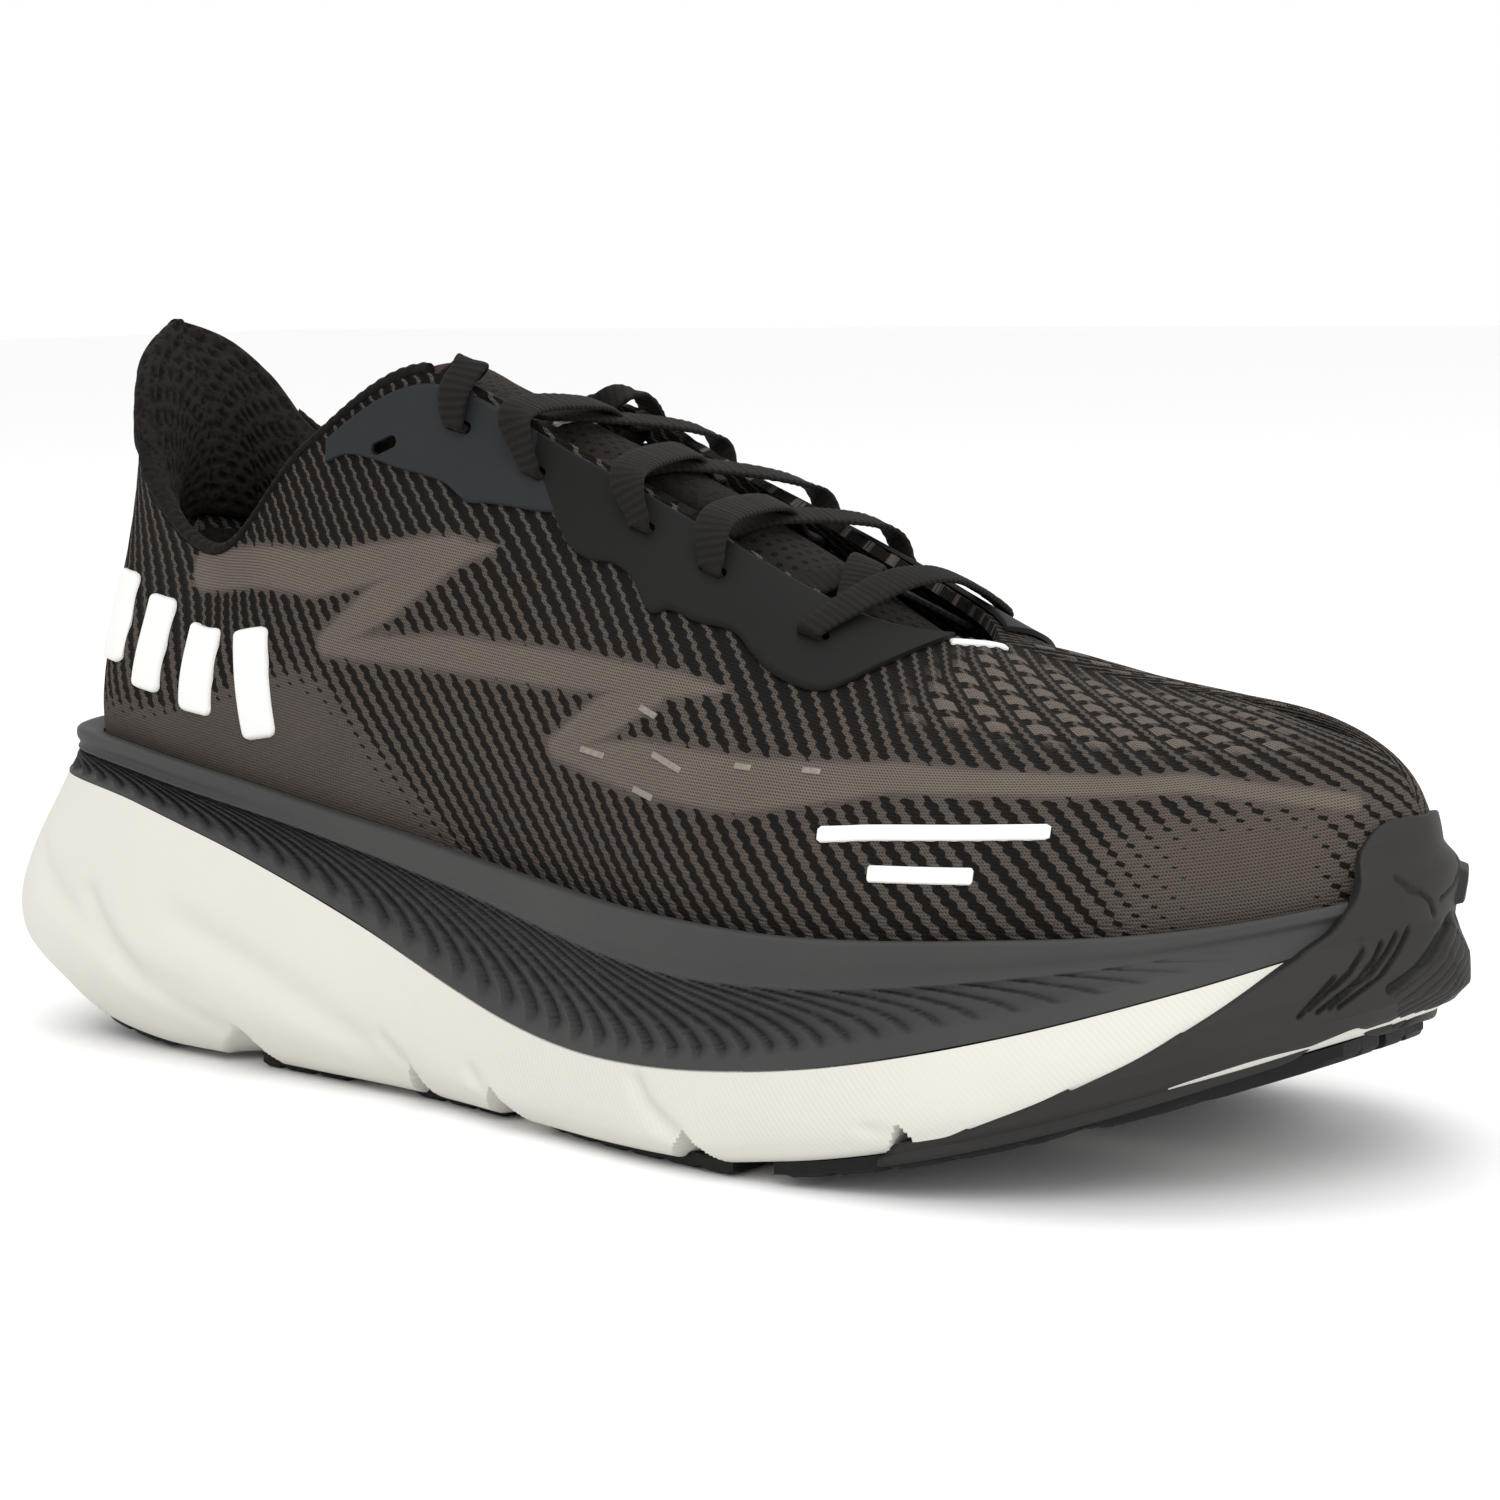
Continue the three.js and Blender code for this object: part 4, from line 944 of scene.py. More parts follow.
# ---- lace --------------------------------------------------------------------------------------
UNDER, OVER = -3.8, 2.4  # offsets of the lace's middle from the upper, inside it and on it
LACE_RIB = 1.5           # spacing of the ribs across the lace
TUCKED, PINCHED = 5.4, 4.8   # its width under the far edge and below an eyelet


def throat_point(u, s, off):
    """A point at a distance from the upper."""
    return outer_skin(u, s) + skin_normal(u, s) * off


def throat_axis(u):
    """The direction along the throat's edge, towards the toe on both sides."""
    sign = 1 if u % N <= SIDE else -1
    return unit(outer_skin(u + 0.1, 0.9) - outer_skin(u - 0.1, 0.9)) * sign


def middle(v, high):
    """A point over the middle of the tongue, level with station v."""
    x = (top_line(v)[0] + top_line(N - v)[0]) / 2
    ws = np.arange(0, 7, 0.02)
    w = ws[np.argmin(np.abs(catmull(TONGUE, ws)[:, 0] - x))]
    return tongue_point(w, 0.0, 0.0) + unit(np.array([0.3, 0, 1.0])) * high


def crossing(outer, i, j, high):
    """From eyelet i over its own edge and the tongue, under the far edge to below eyelet j."""
    vi, vj, sj = EYELETS[i][0], *EYELETS[j]
    start, end = float(side_of(outer, vi)), float(side_of(not outer, vj))
    near_edge = float(side_of(outer, vi * 0.8 + vj * 0.2))
    far_edge = float(side_of(not outer, vi * 0.25 + vj * 0.75))
    a, b = throat_axis(start), throat_axis(end)
    c = unit(a + b)
    top = middle((vi + vj) / 2, high)
    under = throat_point(far_edge, 0.985, UNDER - 1)
    dip = top + (under - top) * 0.62 + [0, 0, -1.2]
    return [(throat_point(near_edge, 1.0, OVER + 1), a, LACE_W), (top, c, LACE_W), (dip, b, LACE_W),
            (under, b, TUCKED), (throat_point(end, sj + 0.03, UNDER - 0.2), b, PINCHED)]


def through_eyelet(outer, i, upwards):
    """Rows of (place, direction of its width, width) for the lace in eyelet i."""
    v, s = EYELETS[i]
    u = float(side_of(outer, v))
    a = throat_axis(u)
    rows = [(throat_point(u, s, UNDER + 0.2), a, 4.4), (throat_point(u, s, -0.4), a, 4.4),
            (throat_point(u, s, OVER), a, 4.6)]
    return rows if upwards else rows[::-1]


def half_lace(outer):
    """Half of the lace, from the lowest eyelet on one side to its tucked-in end."""
    here = outer
    first = float(side_of(outer, EYELETS[0][0]))
    rows = through_eyelet(outer, 0, False)
    rows.append((throat_point(first, 0.985, UNDER - 0.2), throat_axis(first), TUCKED))
    for i in range(len(EYELETS) - 1):
        run = crossing(here, i, i + 1, 4.3 if here else 1.9)
        rows += run[1:] if i == 0 else run
        here = not here
        rows += through_eyelet(here, i + 1, True)
    v = EYELETS[-1][0]
    end = float(side_of(here, v))
    b = throat_axis(end)
    rows.append((throat_point(end, 0.97, OVER + 0.6), b, LACE_W))
    edge = top_line(end)
    inward = np.array([0, -np.sign(edge[1]), 0])
    rows.append((edge + inward * 1.4 + [0.5, 0, 2.8], b, LACE_W))
    rows.append((edge + inward * 4.5 + [-4, 0, 1.4], b, 5.8))
    for back, level, off in ((0.5, 0.93, -4.5), (0.55, 0.84, -5.6), (0.6, 0.74, -7.2)):
        rows.append((throat_point(float(side_of(here, v - back)), level, off), b, 5.0))
    return rows


def lace_rows():
    """The whole lace: one half backwards, the lowest bar, and the other half."""
    outer, inner = half_lace(True), half_lace(False)
    start, end = outer[0], inner[0]
    rise = np.array([0.4, 0, 1.0])
    low_bar = [(start[0] + (end[0] - start[0]) * t + rise * 7.2 * math.sin(math.pi * t),
                start[1] + (end[1] - start[1]) * t, LACE_W) for t in (0.3, 0.5, 0.7)]
    return outer[::-1] + low_bar + inner


def lace():
    """The flat ribbed lace as one loft along its whole route."""
    table = np.array([[*p, *w, width] for p, w, width in lace_rows()])
    per = 30
    rows = catmull(table, np.linspace(0, len(table) - 1, (len(table) - 1) * per + 1))
    p = rows[:, :3]
    t = unit(np.gradient(p, axis=0))
    w = rows[:, 3:6]
    w = unit(w - t * np.einsum("ij,ij->i", w, t)[:, None])
    n = np.cross(t, w)
    run = travelled(p)
    rib = 1 + 0.16 * np.cos(2 * math.pi * run / LACE_RIB)
    angle = np.linspace(0, 2 * math.pi, 20, endpoint=False)
    sections, sides = [], []
    for a in angle:
        c, d = math.cos(a), math.sin(a)
        flat = math.copysign(abs(c) ** 0.45, c)
        tall = math.copysign(abs(d) ** 0.7, d)
        sections.append(p + w * (rows[:, 6] / 2 * flat)[:, None] + n * (LACE_T / 2 * tall * rib)[:, None])
        sides.append(flat + 0 * run)
    fields = {"run": np.repeat((run / LACE_RIB)[:, None], len(angle), 1), "side": np.stack(sides, 1)}
    return loft("lace_braid", np.stack(sections, 1), attributes=fields, sharp=80)


def aglet(name, outer):
    """The stiff tip at one end of the lace."""
    rows = half_lace(outer)
    p, q = rows[-1][0], rows[-2][0]
    d = unit(p - q)
    a = unit(np.cross(d, [0, 0, 1.0]))
    b = np.cross(d, a)
    sections = []
    for t in np.concatenate([[0, 0.02, 0.05], np.linspace(0.1, 0.9, 12), [0.96, 0.99, 1.0]]):
        end = min(t, 1 - t)
        radius = 1.5 * math.sqrt(1 - (1 - min(end / 0.06, 1)) ** 2 * 0.75)
        radius *= 1 + 0.03 * (abs(t - 0.5) < 0.2)
        ring = [p + d * (GAP + 14 * t) + a * radius * math.cos(k) + b * radius * math.sin(k)
                for k in np.linspace(0, 2 * math.pi, 20, endpoint=False)]
        sections.append(ring)
    return loft(name, np.array(sections))


# ---- outsole and toe guard ---------------------------------------------------------------------
# The outsole's pads: from station to station, and from 0 at the outer edge to 1 at the inner one.
PADS = {"outsole_heel_outer": (0.7, 3.1, 0, 0.36), "outsole_heel_inner": (0.7, 3.1, 0.64, 1),
        "outsole_pod_outer_rear": (3.9, 4.6, 0, 0.3), "outsole_pod_outer_front": (5.1, 5.9, 0, 0.3),
        "outsole_pod_inner": (4.4, 5.8, 0.72, 1), "outsole_ball_outer": (6.3, 8.1, 0, 0.44),
        "outsole_ball_inner": (6.3, 8.1, 0.52, 1), "outsole_fore_outer": (8.45, 10.5, 0, 0.44),
        "outsole_fore_inner": (8.45, 10.5, 0.52, 1), "outsole_toe_outer": (10.65, 12.3, 0, 0.44),
        "outsole_toe_inner": (10.65, 12.3, 0.52, 1)}
PAD_INSET = [[0, 0.9], [60, 1.2], [180, 1.6], [200, 0.6], [298, 0.4]]   # how far the pads lie inside the foam
TREAD = 9.0              # spacing of the tread's cross grooves


def outsole_pad(name, v0, v1, y0, y1):
    """A rubber pad with a rounded rim, slanted cross grooves and one groove along its middle."""
    def inset(x):
        return ground_inset(x) - profile(PAD_INSET, x)

    nu, nv = int(26 * (v1 - v0)) + 30, 44
    v = np.linspace(v0, v1, nu)
    t = np.linspace(y0, y1, nv)
    a, b = (footprint(stations, inset, bottom_z) for stations in (v, N - v))
    p = a[:, None] + (b - a)[:, None] * t[None, :, None]
    dome = pillow(nu, nv, 0.07, 0.06)
    phase = (p[..., 0] + 0.25 * np.abs(p[..., 1])) / TREAD
    groove = np.exp(-(((phase - np.floor(phase)) - 0.5) / 0.09) ** 2)
    slot = np.exp(-((np.abs(t - (y0 + y1) / 2) / (y1 - y0)) / 0.035) ** 2)[None, :]
    low, high = p.copy(), p.copy()
    low[..., 2] += 0.9 * (1 - dome) + 1.3 * np.maximum(groove, slot) * dome
    high[..., 2] += PAD - 0.1
    return shell(name + "_rubber", high, low)


# The rubber guard round the toe: [station, lower edge over the ground] and [station, upper edge], where an
# upper edge up to 1 is a share of the sole's wall and from 1 to 2 the next stretch of the upper.
GUARD_LOW = [[9.3, 0.9], [11.5, 0.9], [11.9, 1.2], [12.1, 2.8], [12.28, 3.8], [12.45, 1.6], [12.6, 0.9],
             [13, 0.9]]
GUARD_TOP = [[9.3, .07], [9.56, .11], [9.88, .12], [10.2, .17], [10.48, .22], [10.76, .29], [11.02, .365],
             [11.28, .47], [11.54, .585], [11.75, .68], [12.0, .79], [12.12, .85], [12.21, .95],
             [12.28, 1.08], [12.33, 1.35], [12.38, 1.52], [12.48, 1.7], [12.58, 1.8], [12.73, 1.85],
             [12.9, 1.87], [13, 1.87]]
# Grooves of the guard as lines of (mm from the toe's tip, height); only the fan is the same on both sides.
FAN = [[(-23, 35.5), (-26, 33), (-29, 30)],
       [(-17.5, 39), (-20.5, 36), (-23.5, 34), (-27.5, 31)],
       [(-14, 40), (-16, 37.5), (-19, 35), (-23, 32.5), (-26, 30.5)],
       [(-11, 41), (-13.5, 38.5), (-16.5, 36), (-20, 34), (-24, 31)],
       [(-8.5, 41.5), (-11.5, 38.5), (-15.5, 35), (-20, 32.5), (-22.5, 31)]]
SWOOP = [(-13.5, 33), (-10.5, 34.5), (-7, 36.5), (-2, 39.5), (5, 41.5)]
SWOOP_STEP = (0.75, -1.15)           # from each fine rib beside the swoop to the next
THIN_LINES = [[(-11.5, 48.5), (-9.5, 47.5), (-7, 47), (-4.5, 45.5), (-2.5, 43)],
              [(-1.5, 45.5), (3, 47), (8.5, 49)]]
TOE_RUN = 355.0          # arc length from the heel to the toe's tip on the outer side


def wall_inset(x, z):
    """How far outside the footprint the sole's wall lies at a height."""
    low, edge, rim = lip_z(x), profile(Z_EDGE, x), profile(Z_RIM, x)
    share = np.where(z < edge, (z - low) / (edge - low), 1 + (z - edge) / (rim - edge))
    levels = list(zip(WALL_LEVELS + [2], foam_insets(x) + [profile(IN_RIM, x)]))
    value = levels[0][1]
    for (a, first), (b, second) in zip(levels, levels[1:]):
        value = value + (second - first) * np.clip((share - a) / (b - a), 0, 1)
    return value


def guard_point(u, q, lift):
    """A point of the guard: q from 0 at the ground to 1 at the sole's rim and on over the upper."""
    base = catmull(RING, u, True)[..., 0]
    z = bottom_z(base) + np.clip(q, 0, 1) * (profile(Z_RIM, base) - bottom_z(base))
    low = footprint(u, wall_inset(base, z) + lift, 0.0)
    low[..., 2] = z
    ease = 1 - step(1, 1.5, q)
    off = 0.7 * lift + (profile(IN_RIM, base) - profile(IN_FEATHER, base) + 0.3 * lift) * ease
    high = skin(u, FEATHER_S + 0.3 * np.maximum(q - 1, 0), off)
    rim = footprint(u, profile(IN_RIM, base) + lift, 0.0)
    rim[..., 2] = profile(Z_RIM, base)
    high = high + (rim - skin(u, FEATHER_S + 0 * q, off)) * ease[..., None]
    return np.where((q > 1)[..., None], high, low)


def toe_guard():
    """The rubber guard: its wall on the sole, its lip on the toe, its grooves and its rolled edges."""
    nu, nv = ((900, 150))
    first = GUARD_LOW[0][0]
    u = np.linspace(first, N - first, nu)
    near = SIDE - np.abs(u - SIDE)
    base = catmull(RING, u, True)[:, 0]
    tall = (profile(Z_RIM, base) - bottom_z(base))[:, None]
    low, top = profile(GUARD_LOW, near)[:, None] / tall, profile(GUARD_TOP, near)[:, None]
    f = np.linspace(0, 1, nv)[None, :]
    q = low + (top - low) * f
    uu = np.repeat(u[:, None], nv, 1)
    thick = 1.0 + 0.8 * step(11.6, 12.2, near)
    outer = guard_point(uu, q, np.repeat(thick[:, None], nv, 1))
    inner = guard_point(uu, q, 0 * q - 0.3)
    # Places on the guard in millimetres: along from the toe's tip, and up.
    run = ring_length(u)
    inner_run = float(ring_length(np.array([N - SIDE + 1e-6]))[0])
    along = np.where(u <= SIDE, run - TOE_RUN, inner_run - run)[:, None] + 0 * q
    up = (bottom_z(base)[:, None] + np.clip(q, 0, 1) * tall) + 9 * np.maximum(q - 1, 0)
    swells = [([(x + SWOOP_STEP[0] * k, y + SWOOP_STEP[1] * k) for x, y in SWOOP], 0.3, 0.45, along)
              for k in range(1, 8)]
    grooves = [(line, 0.36, 0.9, -np.abs(along)) for line in FAN]
    grooves += [(line, 0.35, 0.6, along) for line in THIN_LINES]
    deep = np.zeros(q.shape)
    for line, width, depth, x in [*grooves, *swells, (SWOOP, 0.8, 1.3, along)]:
        deep = np.maximum(deep, depth * np.exp(-(distance_to_line(x, up, line)[0] / width) ** 2))
    deep -= 0.8 * bump(along, 1.5, 9.0) * bump(up, 33.5, 4.2)
    # The small block at the tip.
    block_along = step(7.0, 7.6, along) * (1 - step(12.5, 13.1, along))
    block_up = step(43.2, 43.8, up) * (1 - step(47.6, 48.2, up))
    deep -= 1.2 * block_along * block_up
    # Rolled edges.
    deep += 0.9 * (1 - rounded(np.minimum(f, 1 - f) * (top - low) * tall / 1.1))
    deep += 0.8 * (1 - rounded((near - first) / 0.5))[:, None]
    outer = outer - outwards(outer, inner) * deep[..., None]
    # The groove field, the depth of the grooves and rolled edges, carries painted shade: the material darkens
    # the guard there.
    return shell("toe_guard_rubber", outer, inner, attributes={"groove": np.clip(deep, 0, 1)})


# ---- materials -------------------------------------------------------------------------------
class Value:
    """An output of a node; its arithmetic adds math nodes."""

    def __init__(self, graph, socket):
        self.graph, self.socket = graph, socket

    def __add__(self, other):
        return self.graph.math("ADD", self, other)

    def __sub__(self, other):
        return self.graph.math("SUBTRACT", self, other)

    def __rsub__(self, other):
        return self.graph.math("SUBTRACT", other, self)

    def __mul__(self, other):
        return self.graph.math("MULTIPLY", self, other)


class Graph:
    """A small helper that builds one node material; its colours are triples of linear light."""

    def __init__(self, name, roughness, specular, metallic=0.0):
        self.material = bpy.data.materials.new(name)
        self.material.use_nodes = True
        self.tree = self.material.node_tree
        self.shader = self.tree.nodes["Principled BSDF"]
        self.shader.inputs["Roughness"].default_value = roughness
        self.shader.inputs["Metallic"].default_value = metallic
        self.shader.inputs["Specular IOR Level"].default_value = specular

    def node(self, kind, output, inputs=None, **settings):
        """Adds a node, feeds its inputs and gives one of its outputs."""
        made = self.tree.nodes.new(kind)
        for key, value in settings.items():
            setattr(made, key, value)
        for key, value in (inputs or {}).items():
            self.feed(made.inputs[key], value)
        return Value(self, made.outputs[output])

    def feed(self, socket, value):
        """Links a value to a socket, or sets a number or a colour on it."""
        if isinstance(value, Value):
            self.tree.links.new(value.socket, socket)
        elif isinstance(value, tuple):
            socket.default_value = (*value, 1)
        else:
            socket.default_value = value

    def attributes(self, *names):
        return [self.node("ShaderNodeAttribute", "Fac", attribute_name=name) for name in names]

    def place(self):
        return self.node("ShaderNodeTexCoord", "Object")

    def math(self, operation, a, b=0.0):
        return self.node("ShaderNodeMath", 0, {0: a, 1: b}, operation=operation)

    def ramp(self, value, low, high, out_low=0.0, out_high=1.0):
        inputs = {"Value": value, "From Min": low, "From Max": high, "To Min": out_low, "To Max": out_high}
        return self.node("ShaderNodeMapRange", 0, inputs, interpolation_type="SMOOTHSTEP")

    def mix(self, share, a, b):
        """Colour a where share is 0, colour b where it is 1."""
        return self.node("ShaderNodeMix", 2, {0: share, 6: a, 7: b}, data_type="RGBA")

    def noise(self, scale, detail=3.0):
        inputs = {"Scale": scale, "Detail": detail, "Roughness": 0.5, "Vector": self.place()}
        return self.node("ShaderNodeTexNoise", "Fac", inputs)

    def cells(self, scale):
        return self.node("ShaderNodeTexVoronoi", "Distance", {"Scale": scale, "Vector": self.place()})

    def from_middle(self, value):
        """Distance from the middle of each unit of a value: 0 at its middle, 0.5 at its ends."""
        return self.math("ABSOLUTE", self.math("FRACT", value) - 0.5)

    def wave(self, value):
        """A smooth wave of height 0 to 1 and period 1."""
        return self.math("COSINE", value * (2 * math.pi)) * -0.5 + 0.5

    def zigzag(self, value):
        """A triangle wave of height 0 to 1 and period 1."""
        return self.math("PINGPONG", value * 2.0, 1.0)

    def finish(self, colour, height=None, distance=0.0, strength=1.0, sheen=0.0, sheen_tint=(1, 1, 1)):
        """Sets the colour and, where a height is given, a relief of that distance in metres."""
        self.feed(self.shader.inputs["Base Color"], colour)
        if height is not None:
            inputs = {"Height": height, "Distance": distance, "Strength": strength}
            self.feed(self.shader.inputs["Normal"], self.node("ShaderNodeBump", "Normal", inputs))
        self.shader.inputs["Sheen Weight"].default_value = sheen
        self.shader.inputs["Sheen Tint"].default_value = (*sheen_tint, 1)
        self.shader.inputs["Sheen Roughness"].default_value = 0.4
        return self.material


def shade(r, g, b):
    """A colour given as screen values of 0 to 255, as linear light."""
    return tuple(((c / 255 + 0.055) / 1.055) ** 2.4 if c > 10 else c / 255 / 12.92 for c in (r, g, b))


def smooth_material(name, dark, light, roughness, specular, cloud, grain, relief, groove=None):
    """A moulded surface: two tones in soft clouds and a fine grain, with relief as its distance and strength.
    groove is the share and the colour of the shade painted into the mesh's grooves."""
    g = Graph(name, roughness, specular)
    colour = g.mix(g.noise(cloud), dark, light)
    if groove:
        # Painted shade: the colour darkens towards groove[1] where the mesh's groove field is high.
        colour = g.mix(g.attributes("groove")[0] * groove[0], colour, groove[1])
    return g.finish(colour, g.noise(grain), *relief)


def rubber_material(name, dark, light):
    """Plain rubber, and other plain hard stuff."""
    return smooth_material(name, dark, light, 0.62, 0.2, 50.0, 1300.0, (0.0002, 0.3))


def knit_material():
    """A dense two-tone jacquard: dark zigzag columns on a taupe ground, whose widths come from the mesh."""
    g = Graph("jacquard_knit", 0.92, 0.18)
    column, row, dark, plain, blocks = g.attributes("column", "row", "dark", "plain", "blocks")
    jag = g.zigzag(row + g.math("FLOOR", column) * 0.37)
    beads = g.ramp(dark, 0.05, 0.5, 0.34, 0.0) * (1.0 - jag)
    edge = dark * 0.5 + (jag - 0.5) * 0.16 - beads
    is_dark = g.ramp(edge - g.from_middle(column), -0.03, 0.03) * g.ramp(dark, 0.02, 0.1)
    # Squares of light knit on the vamp, on every second column.
    across, along = g.from_middle(column * 0.5), g.from_middle(row * 0.36)
    block = g.ramp(across, 0.25, 0.29, 1.0, 0.0) * g.ramp(along, 0.28, 0.32, 1.0, 0.0) * blocks
    is_dark = is_dark * (1.0 - block)
    # The fine loops of the ground knit: a grid of small dark gaps.
    loops = g.wave(column * 7.0) * g.wave(row * 3.2)
    cloud, fibre = g.noise(60.0, 4.0), g.noise(2600.0, 2.0)
    taupe = g.mix(cloud, shade(77, 69, 64), shade(90, 82, 75))
    light = g.mix(cloud, shade(103, 95, 87), shade(117, 108, 99))
    ground_colour = g.mix(g.math("MAXIMUM", plain * 0.85, block), taupe, light)
    ground_colour = g.mix(loops * 0.85, ground_colour, shade(30, 26, 23))
    black = g.mix(fibre, shade(10, 8, 7), shade(22, 19, 17))
    twist = g.wave(row * 2.0 + column) * g.ramp(dark, 0.0, 0.3, 0.1, 0.4)
    height = twist - is_dark * 0.9 - loops * 0.5 + fibre * 0.25
    return g.finish(g.mix(is_dark, ground_colour, black), height, 0.0004, 0.9, 0.05, shade(170, 155, 140))


def foam_material():
    """White foam with fine slanted hatching on its sides from the middle of the shoe forward."""
    g = Graph("white_foam", 0.66, 0.25)
    run, height = g.attributes("run", "height")
    lines = g.zigzag(run + height * 0.8) * g.ramp(run, 135.0, 170.0)
    lines = lines * g.ramp(g.noise(38.0, 2.0), 0.35, 0.6, 0.3, 1.0)
    colour = g.mix(g.noise(30.0), shade(205, 203, 194), shade(213, 211, 202))
    colour = g.mix(lines * 0.08, colour, shade(160, 156, 148))
    return g.finish(colour, g.noise(1800.0) * 0.3 - lines * 0.5, 0.0002, 0.4)


def floor_material():
    """The even pale ground of the studio."""
    g = Graph("pale_floor", 0.9, 0.1)
    return g.finish(g.mix(g.noise(3.0, 2.0), (0.955, 0.955, 0.955), (0.965, 0.965, 0.965)))


def lace_material():
    """Flat weave with ribs across it and strands along it."""
    g = Graph("lace_weave", 0.85, 0.2)
    run, side = g.attributes("run", "side")
    rib, strands, fibre = g.wave(run), g.wave(side * 7.0), g.noise(3000.0, 2.0)
    colour = g.mix(rib * 0.6 + fibre * 0.4, shade(11, 9, 8), shade(33, 28, 26))
    height = rib * 0.6 + strands * 0.35 + fibre * 0.3
    return g.finish(colour, height, 0.0003, 0.8, 0.05, shade(150, 135, 120))


def mesh_material(name, dark, light, dimple=False):
    """Open spacer mesh; its dimples, where it has them, are darker."""
    g = Graph(name, 0.93, 0.15)
    cells, fibre = g.cells(700.0), g.noise(2400.0, 2.0)
    colour = g.mix(g.ramp(cells, 0.1, 0.6) * fibre, dark, light)
    if dimple:
        colour = g.mix(g.attributes("dimple")[0] * 0.7, colour, shade(9, 8, 7))
    return g.finish(colour, cells + fibre * 0.4, 0.0004, 0.6, 0.06, shade(140, 125, 110))


def tongue_material():
    """Perforated mesh in the tongue's middle field, and a reddish rim."""
    g = Graph("tongue_perforated_mesh", 0.9, 0.15)
    along, side, field, rim = g.attributes("along", "side", "field", "rim")
    a = along * 0.42
    b = side * 0.36 + g.math("MODULO", g.math("FLOOR", a), 2.0) * 0.5
    da, db = g.from_middle(a), g.from_middle(b)
    hole = g.ramp(g.math("SQRT", da * da + db * db), 0.2, 0.28, 1.0, 0.0) * field
    fibre = g.noise(2400.0, 2.0)
    body = g.mix(fibre, shade(20, 17, 16), shade(40, 35, 32))
    edge = g.mix(fibre, shade(44, 28, 29), shade(70, 46, 47))
    colour = g.mix(hole, g.mix(rim, body, edge), shade(10, 9, 8))
    return g.finish(colour, fibre * 0.3 - hole, 0.0008, 0.8, 0.15, shade(140, 120, 110))


def reflective_material(name, dark, light):
    """A slightly metallic print with fine beads."""
    g = Graph(name, 0.4, 0.4, metallic=0.3)
    cells = g.cells(1200.0)
    return g.finish(g.mix(cells, dark, light), cells, 0.0002, 0.4)


def board_material():
    """Coarse plain weave."""
    g = Graph("board_weave", 0.9, 0.2)
    x, y = (g.node("ShaderNodeSeparateXYZ", axis, {"Vector": g.place()}) for axis in "XY")
    weave = g.wave(x * 900.0) * g.wave(y * 900.0)
    return g.finish(g.mix(weave, shade(178, 166, 142), shade(206, 196, 172)), weave, 0.0003, 0.6)


# ---- camera, floor and lights ------------------------------------------------------------------
CAMERA_AT = (576.71, -523.63, 144.72)    # in the shoe's own coordinates
YAW, PITCH, ROLL = 38.821, 7.21, -0.996  # degrees
LENS, SENSOR = 92.957, 36.0              # mm
FLOOR_HALF = 6000                        # half the width of the studio's floor


def camera():
    """The main camera: it looks a little down at the outer side, from in front of the toe."""
    yaw, pitch, roll = (math.radians(a) for a in (YAW, PITCH, ROLL))
    ahead = Vector((-math.sin(yaw) * math.cos(pitch), math.cos(yaw) * math.cos(pitch), -math.sin(pitch)))
    right = Vector((math.cos(yaw), math.sin(yaw), 0))
    up = right.cross(ahead)
    x_axis = right * math.cos(roll) + up * math.sin(roll)
    y_axis = up * math.cos(roll) - right * math.sin(roll)
    data = bpy.data.cameras.new("camera")
    data.lens = LENS
    data.sensor_width = SENSOR
    data.clip_start, data.clip_end = 0.01, 50
    eye = bpy.data.objects.new("camera", data)
    turn = Matrix((x_axis, y_axis, -ahead)).transposed().to_4x4()
    eye.matrix_world = Matrix.Translation(to_frame(CAMERA_AT)) @ turn
    bpy.context.scene.collection.objects.link(eye)
    bpy.context.scene.camera = eye


def light(name, place, target, size, power):
    """A round lamp, in metres and watts, turned to a target."""
    data = bpy.data.lights.new(name, "AREA")
    data.shape = "DISK"
    data.size = size
    data.energy = power
    lamp = bpy.data.objects.new(name, data)
    lamp.location = place
    lamp.rotation_euler = (Vector(target) - Vector(place)).to_track_quat("-Z", "Y").to_euler()
    bpy.context.scene.collection.objects.link(lamp)


def studio():
    """An even white world with soft lamps over a pale floor."""
    world = bpy.data.worlds.new("studio")
    world.use_nodes = True
    background = world.node_tree.nodes["Background"]
    background.inputs["Color"].default_value = (1, 1, 1, 1)
    background.inputs["Strength"].default_value = 1.0
    bpy.context.scene.world = world
    bpy.context.scene.view_settings.view_transform = "Standard"
    light("key", (0.7, -0.9, 1.3), (0, 0, 0.05), 1.2, 8)
    light("front", (1.3, -0.2, 0.5), (0.05, 0, 0.05), 0.9, 2.5)
    light("top", (-0.2, 0.1, 1.6), (0, 0, 0), 1.4, 4)
    ends = (-FLOOR_HALF, FLOOR_HALF)
    floor = shell("floor", *[np.array([[(x, y, z) for y in ends] for x in ends], float) for z in (0.0, -5.0)])
    floor.data.materials.append(floor_material())


# ---- assembly --------------------------------------------------------------------------------
BLEND_START, BLEND_END = 182.0, 236.0    # where the sole starts and ends its bend
SIDES = ((True, "outer"), (False, "inner"))


def dress(piece, material, nodes=(), body="hindfoot", bends=False):
    """Gives a piece its material, slot and body, and hides the CAD nodes that it stands for."""
    piece.data.materials.clear()
    piece.data.materials.append(material)
    if nodes:
        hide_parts(*nodes)
    if bends:
        start, end = to_frame((BLEND_START, 0, 0)), to_frame((BLEND_END, 0, 0))
        start[1] = end[1] = 0.0
        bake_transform(piece, "hindfoot", "forefoot", start=tuple(start), end=tuple(end))
    else:
        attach(piece, body)
    return piece


camera()
studio()

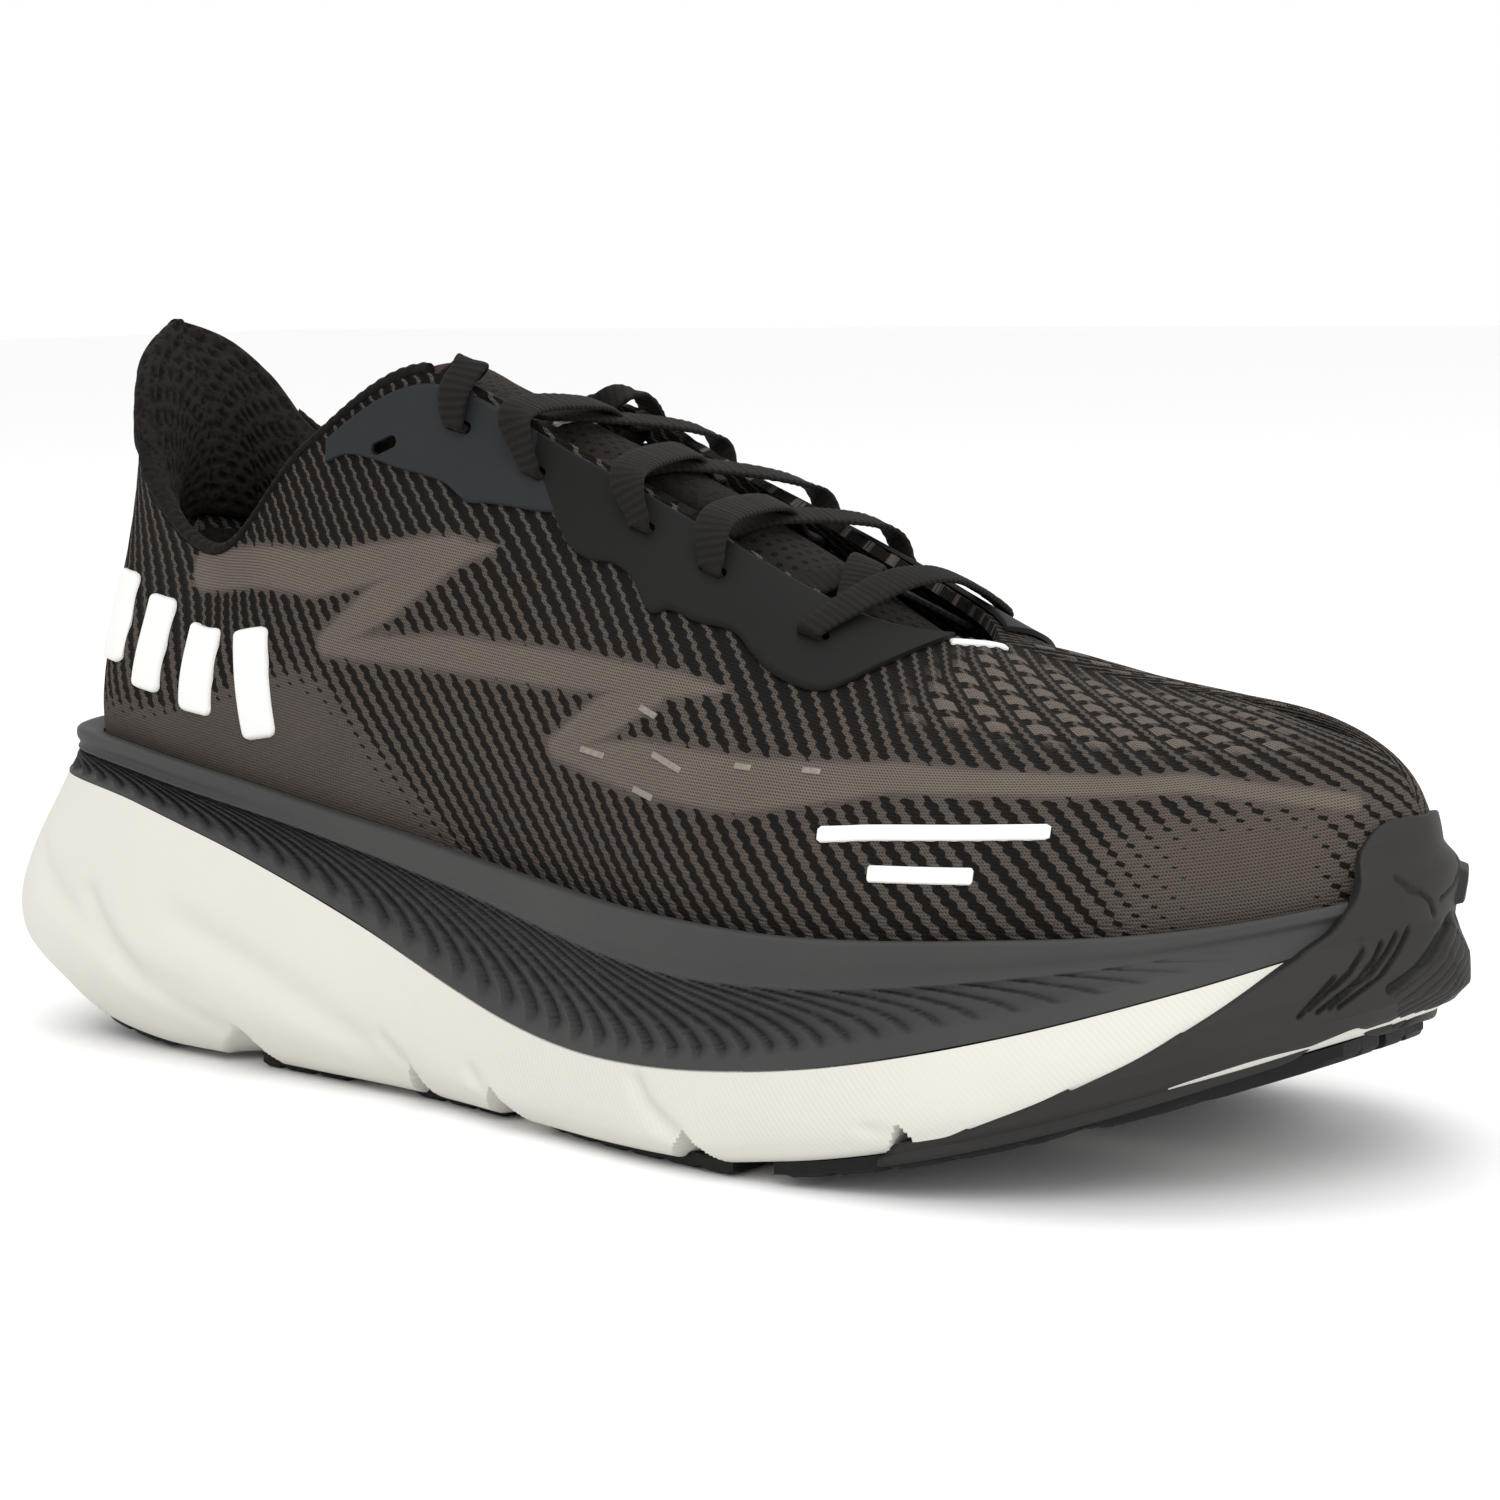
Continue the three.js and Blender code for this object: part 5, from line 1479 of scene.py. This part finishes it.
rubber = rubber_material("outsole_rubber_black", shade(13, 13, 13), shade(21, 21, 20))
stiff = rubber_material("stiffener_board", shade(48, 45, 42), shade(60, 57, 53))
tip = rubber_material("aglet_plastic", shade(18, 17, 16), shade(26, 25, 24))
lining_mesh = mesh_material("lining_mesh", shade(14, 12, 11), shade(36, 32, 29))
collar_mesh = mesh_material("collar_spacer_mesh", shade(15, 13, 12), shade(44, 38, 34), dimple=True)
tape = mesh_material("binding_tape", shade(13, 12, 11), shade(30, 27, 25))
# The carrier's and the toe guard's last arguments paint shade into their grooves.
carrier_grey = smooth_material("carrier_foam_grey", shade(50, 51, 50), shade(60, 60, 59), 0.6, 0.3, 40.0,
                               2200.0, (0.0002, 0.3), (0.8, shade(20, 20, 20)))
guard_grey = smooth_material("toe_rubber_grey", shade(38, 37, 35), shade(48, 47, 45), 0.6, 0.22, 45.0, 1500.0,
                             (0.0002, 0.35), (0.6, shade(20, 19, 19)))
film_charcoal = smooth_material("eyestay_film_charcoal", shade(19, 19, 18), shade(26, 26, 25), 0.62, 0.12,
                                45.0, 1500.0, (0.00015, 0.3))
tab_slate = smooth_material("tab_film_slate", shade(34, 37, 38), shade(41, 44, 46), 0.6, 0.14, 45.0, 1500.0,
                            (0.00015, 0.3))
white_print = smooth_material("white_print", shade(226, 226, 223), shade(234, 234, 231), 0.5, 0.4, 80.0,
                              900.0, (0.00015, 0.4))
dash_grey = reflective_material("reflective_dash_grey", shade(118, 112, 104), shade(140, 133, 124))
silver = reflective_material("reflective_print", shade(150, 148, 142), shade(196, 194, 188))

# The sole and the knit.
dress(midsole(), foam_material(), ["midsole_foam"], bends=True)
dress(carrier(), carrier_grey, ["carrier_foam"], bends=True)
dress(knit_upper(), knit_material(), ["knit_upper"], bends=True)
for name, spec in PADS.items():
    body = "forefoot" if "fore" in name or "toe" in name else "hindfoot"
    dress(outsole_pad(name, *spec), rubber, [name], body)
dress(toe_guard(), guard_grey, ["toe_bumper"], bends=True)

# Inside the shoe.
board = inside_board("strobel_board_woven", GAP, 1.6, 6.5)
dress(board, board_material(), ["strobel_board"], bends=True)
sockliner = inside_board("sockliner_foam", 2.0, 6.5, 8.4, 1.2)
dress(sockliner, lining_mesh, ["sockliner"], bends=True)
lining = patch("quarter_lining_mesh", np.linspace(-10.4, 10.4, 240), 0.1, 0.54, -4.4, -5.4, 40)
dress(lining, lining_mesh, ["quarter_lining"], bends=True)
for outer, side in SIDES:
    dress(eyelet_backing(f"eyelet_backing_{side}", outer), lining_mesh)
counter = patch("heel_counter_shell", np.linspace(-3.2, 3.2, 120), 0.12, 0.52, -2.5, -4, 30)
dress(counter, stiff, ["heel_counter"])
puff = patch("toe_puff_shell", np.linspace(10.9, 15.1, 120), 0.14, 0.72, -2.5, -3.6, 30)
dress(puff, stiff, ["toe_puff"], "forefoot")

# The collar, the films and the tongue.
dress(collar(), collar_mesh, ["collar_pad"])
dress(binding("collar_binding_tape", 1.66, 5.0), tape, ["collar_binding"])
dress(binding("collar_binding_tape_inner", -5.0, -1.66), tape)
for outer, side in SIDES:
    eyestay = film(f"eyestay_film_{side}", outer, FILM_EDGE, 0.35, 0.75)
    dress(eyestay, film_charcoal, [f"eyestay_{side}"], bends=True)
    dress(film(f"tab_film_{side}", outer, TAB_EDGE, 0.3, 0.7), tab_slate, [f"eyestay_tab_{side}"])
dress(tongue(), tongue_material(), ["tongue"], "tongue")
loop = on_tongue("tongue_lace_loop_tape", 2.35, 2.9, .32, 0.3, 0.6)
dress(loop, lining_mesh, ["tongue_lace_loop"], "tongue")
for k in range(3):
    dash = on_tongue(f"tongue_dash_{k + 1}", 3.76 + 0.11 * k, 3.81 + 0.11 * k, 0.24 - 0.05 * k, 0.3, 0.25)
    dress(dash, white_print, ["tongue_label"] if k == 0 else [], "tongue")
dress(lace(), lace_material(), ["lace"])
for outer, side in SIDES:
    dress(aglet(f"aglet_tip_{side}", outer), tip, [f"aglet_{side}"])

# Marks: the white print, the reflective dashes and the heel reflector.
for k, (u0, s0, u1, s1) in enumerate(HEEL_BARS):
    mark = bar(f"heel_mark_{k + 1}", (u0, s0), (u1, s1), 4.3, 0.8)
    dress(mark, white_print, [f"heel_bar_{k + 1}"])
for level, start, end in (("upper", (8.62, .365), (10.42, .405)), ("lower", (9.1, .29), (9.95, .295))):
    stroke = bar(f"forefoot_mark_{level}", start, end, 1.35, 0.35)
    dress(stroke, white_print, [f"forefoot_dash_{level}"], bends=True)
for k, (u0, s0, u1, s1) in enumerate(SIDE_DASHES):
    dress(bar(f"side_dash_{k + 1}", (u0, s0), (u1, s1), 0.55, 0.15), dash_grey, bends=True)
dress(bar("vamp_stroke_print", (8.62, .955), (9.15, .972), 0.9, 0.25), white_print, bends=True)
reflector = bar("heel_reflector_strip", (0, .72), (0, .83), 1.6, 0.5)
dress(reflector, silver, ["heel_reflector"])
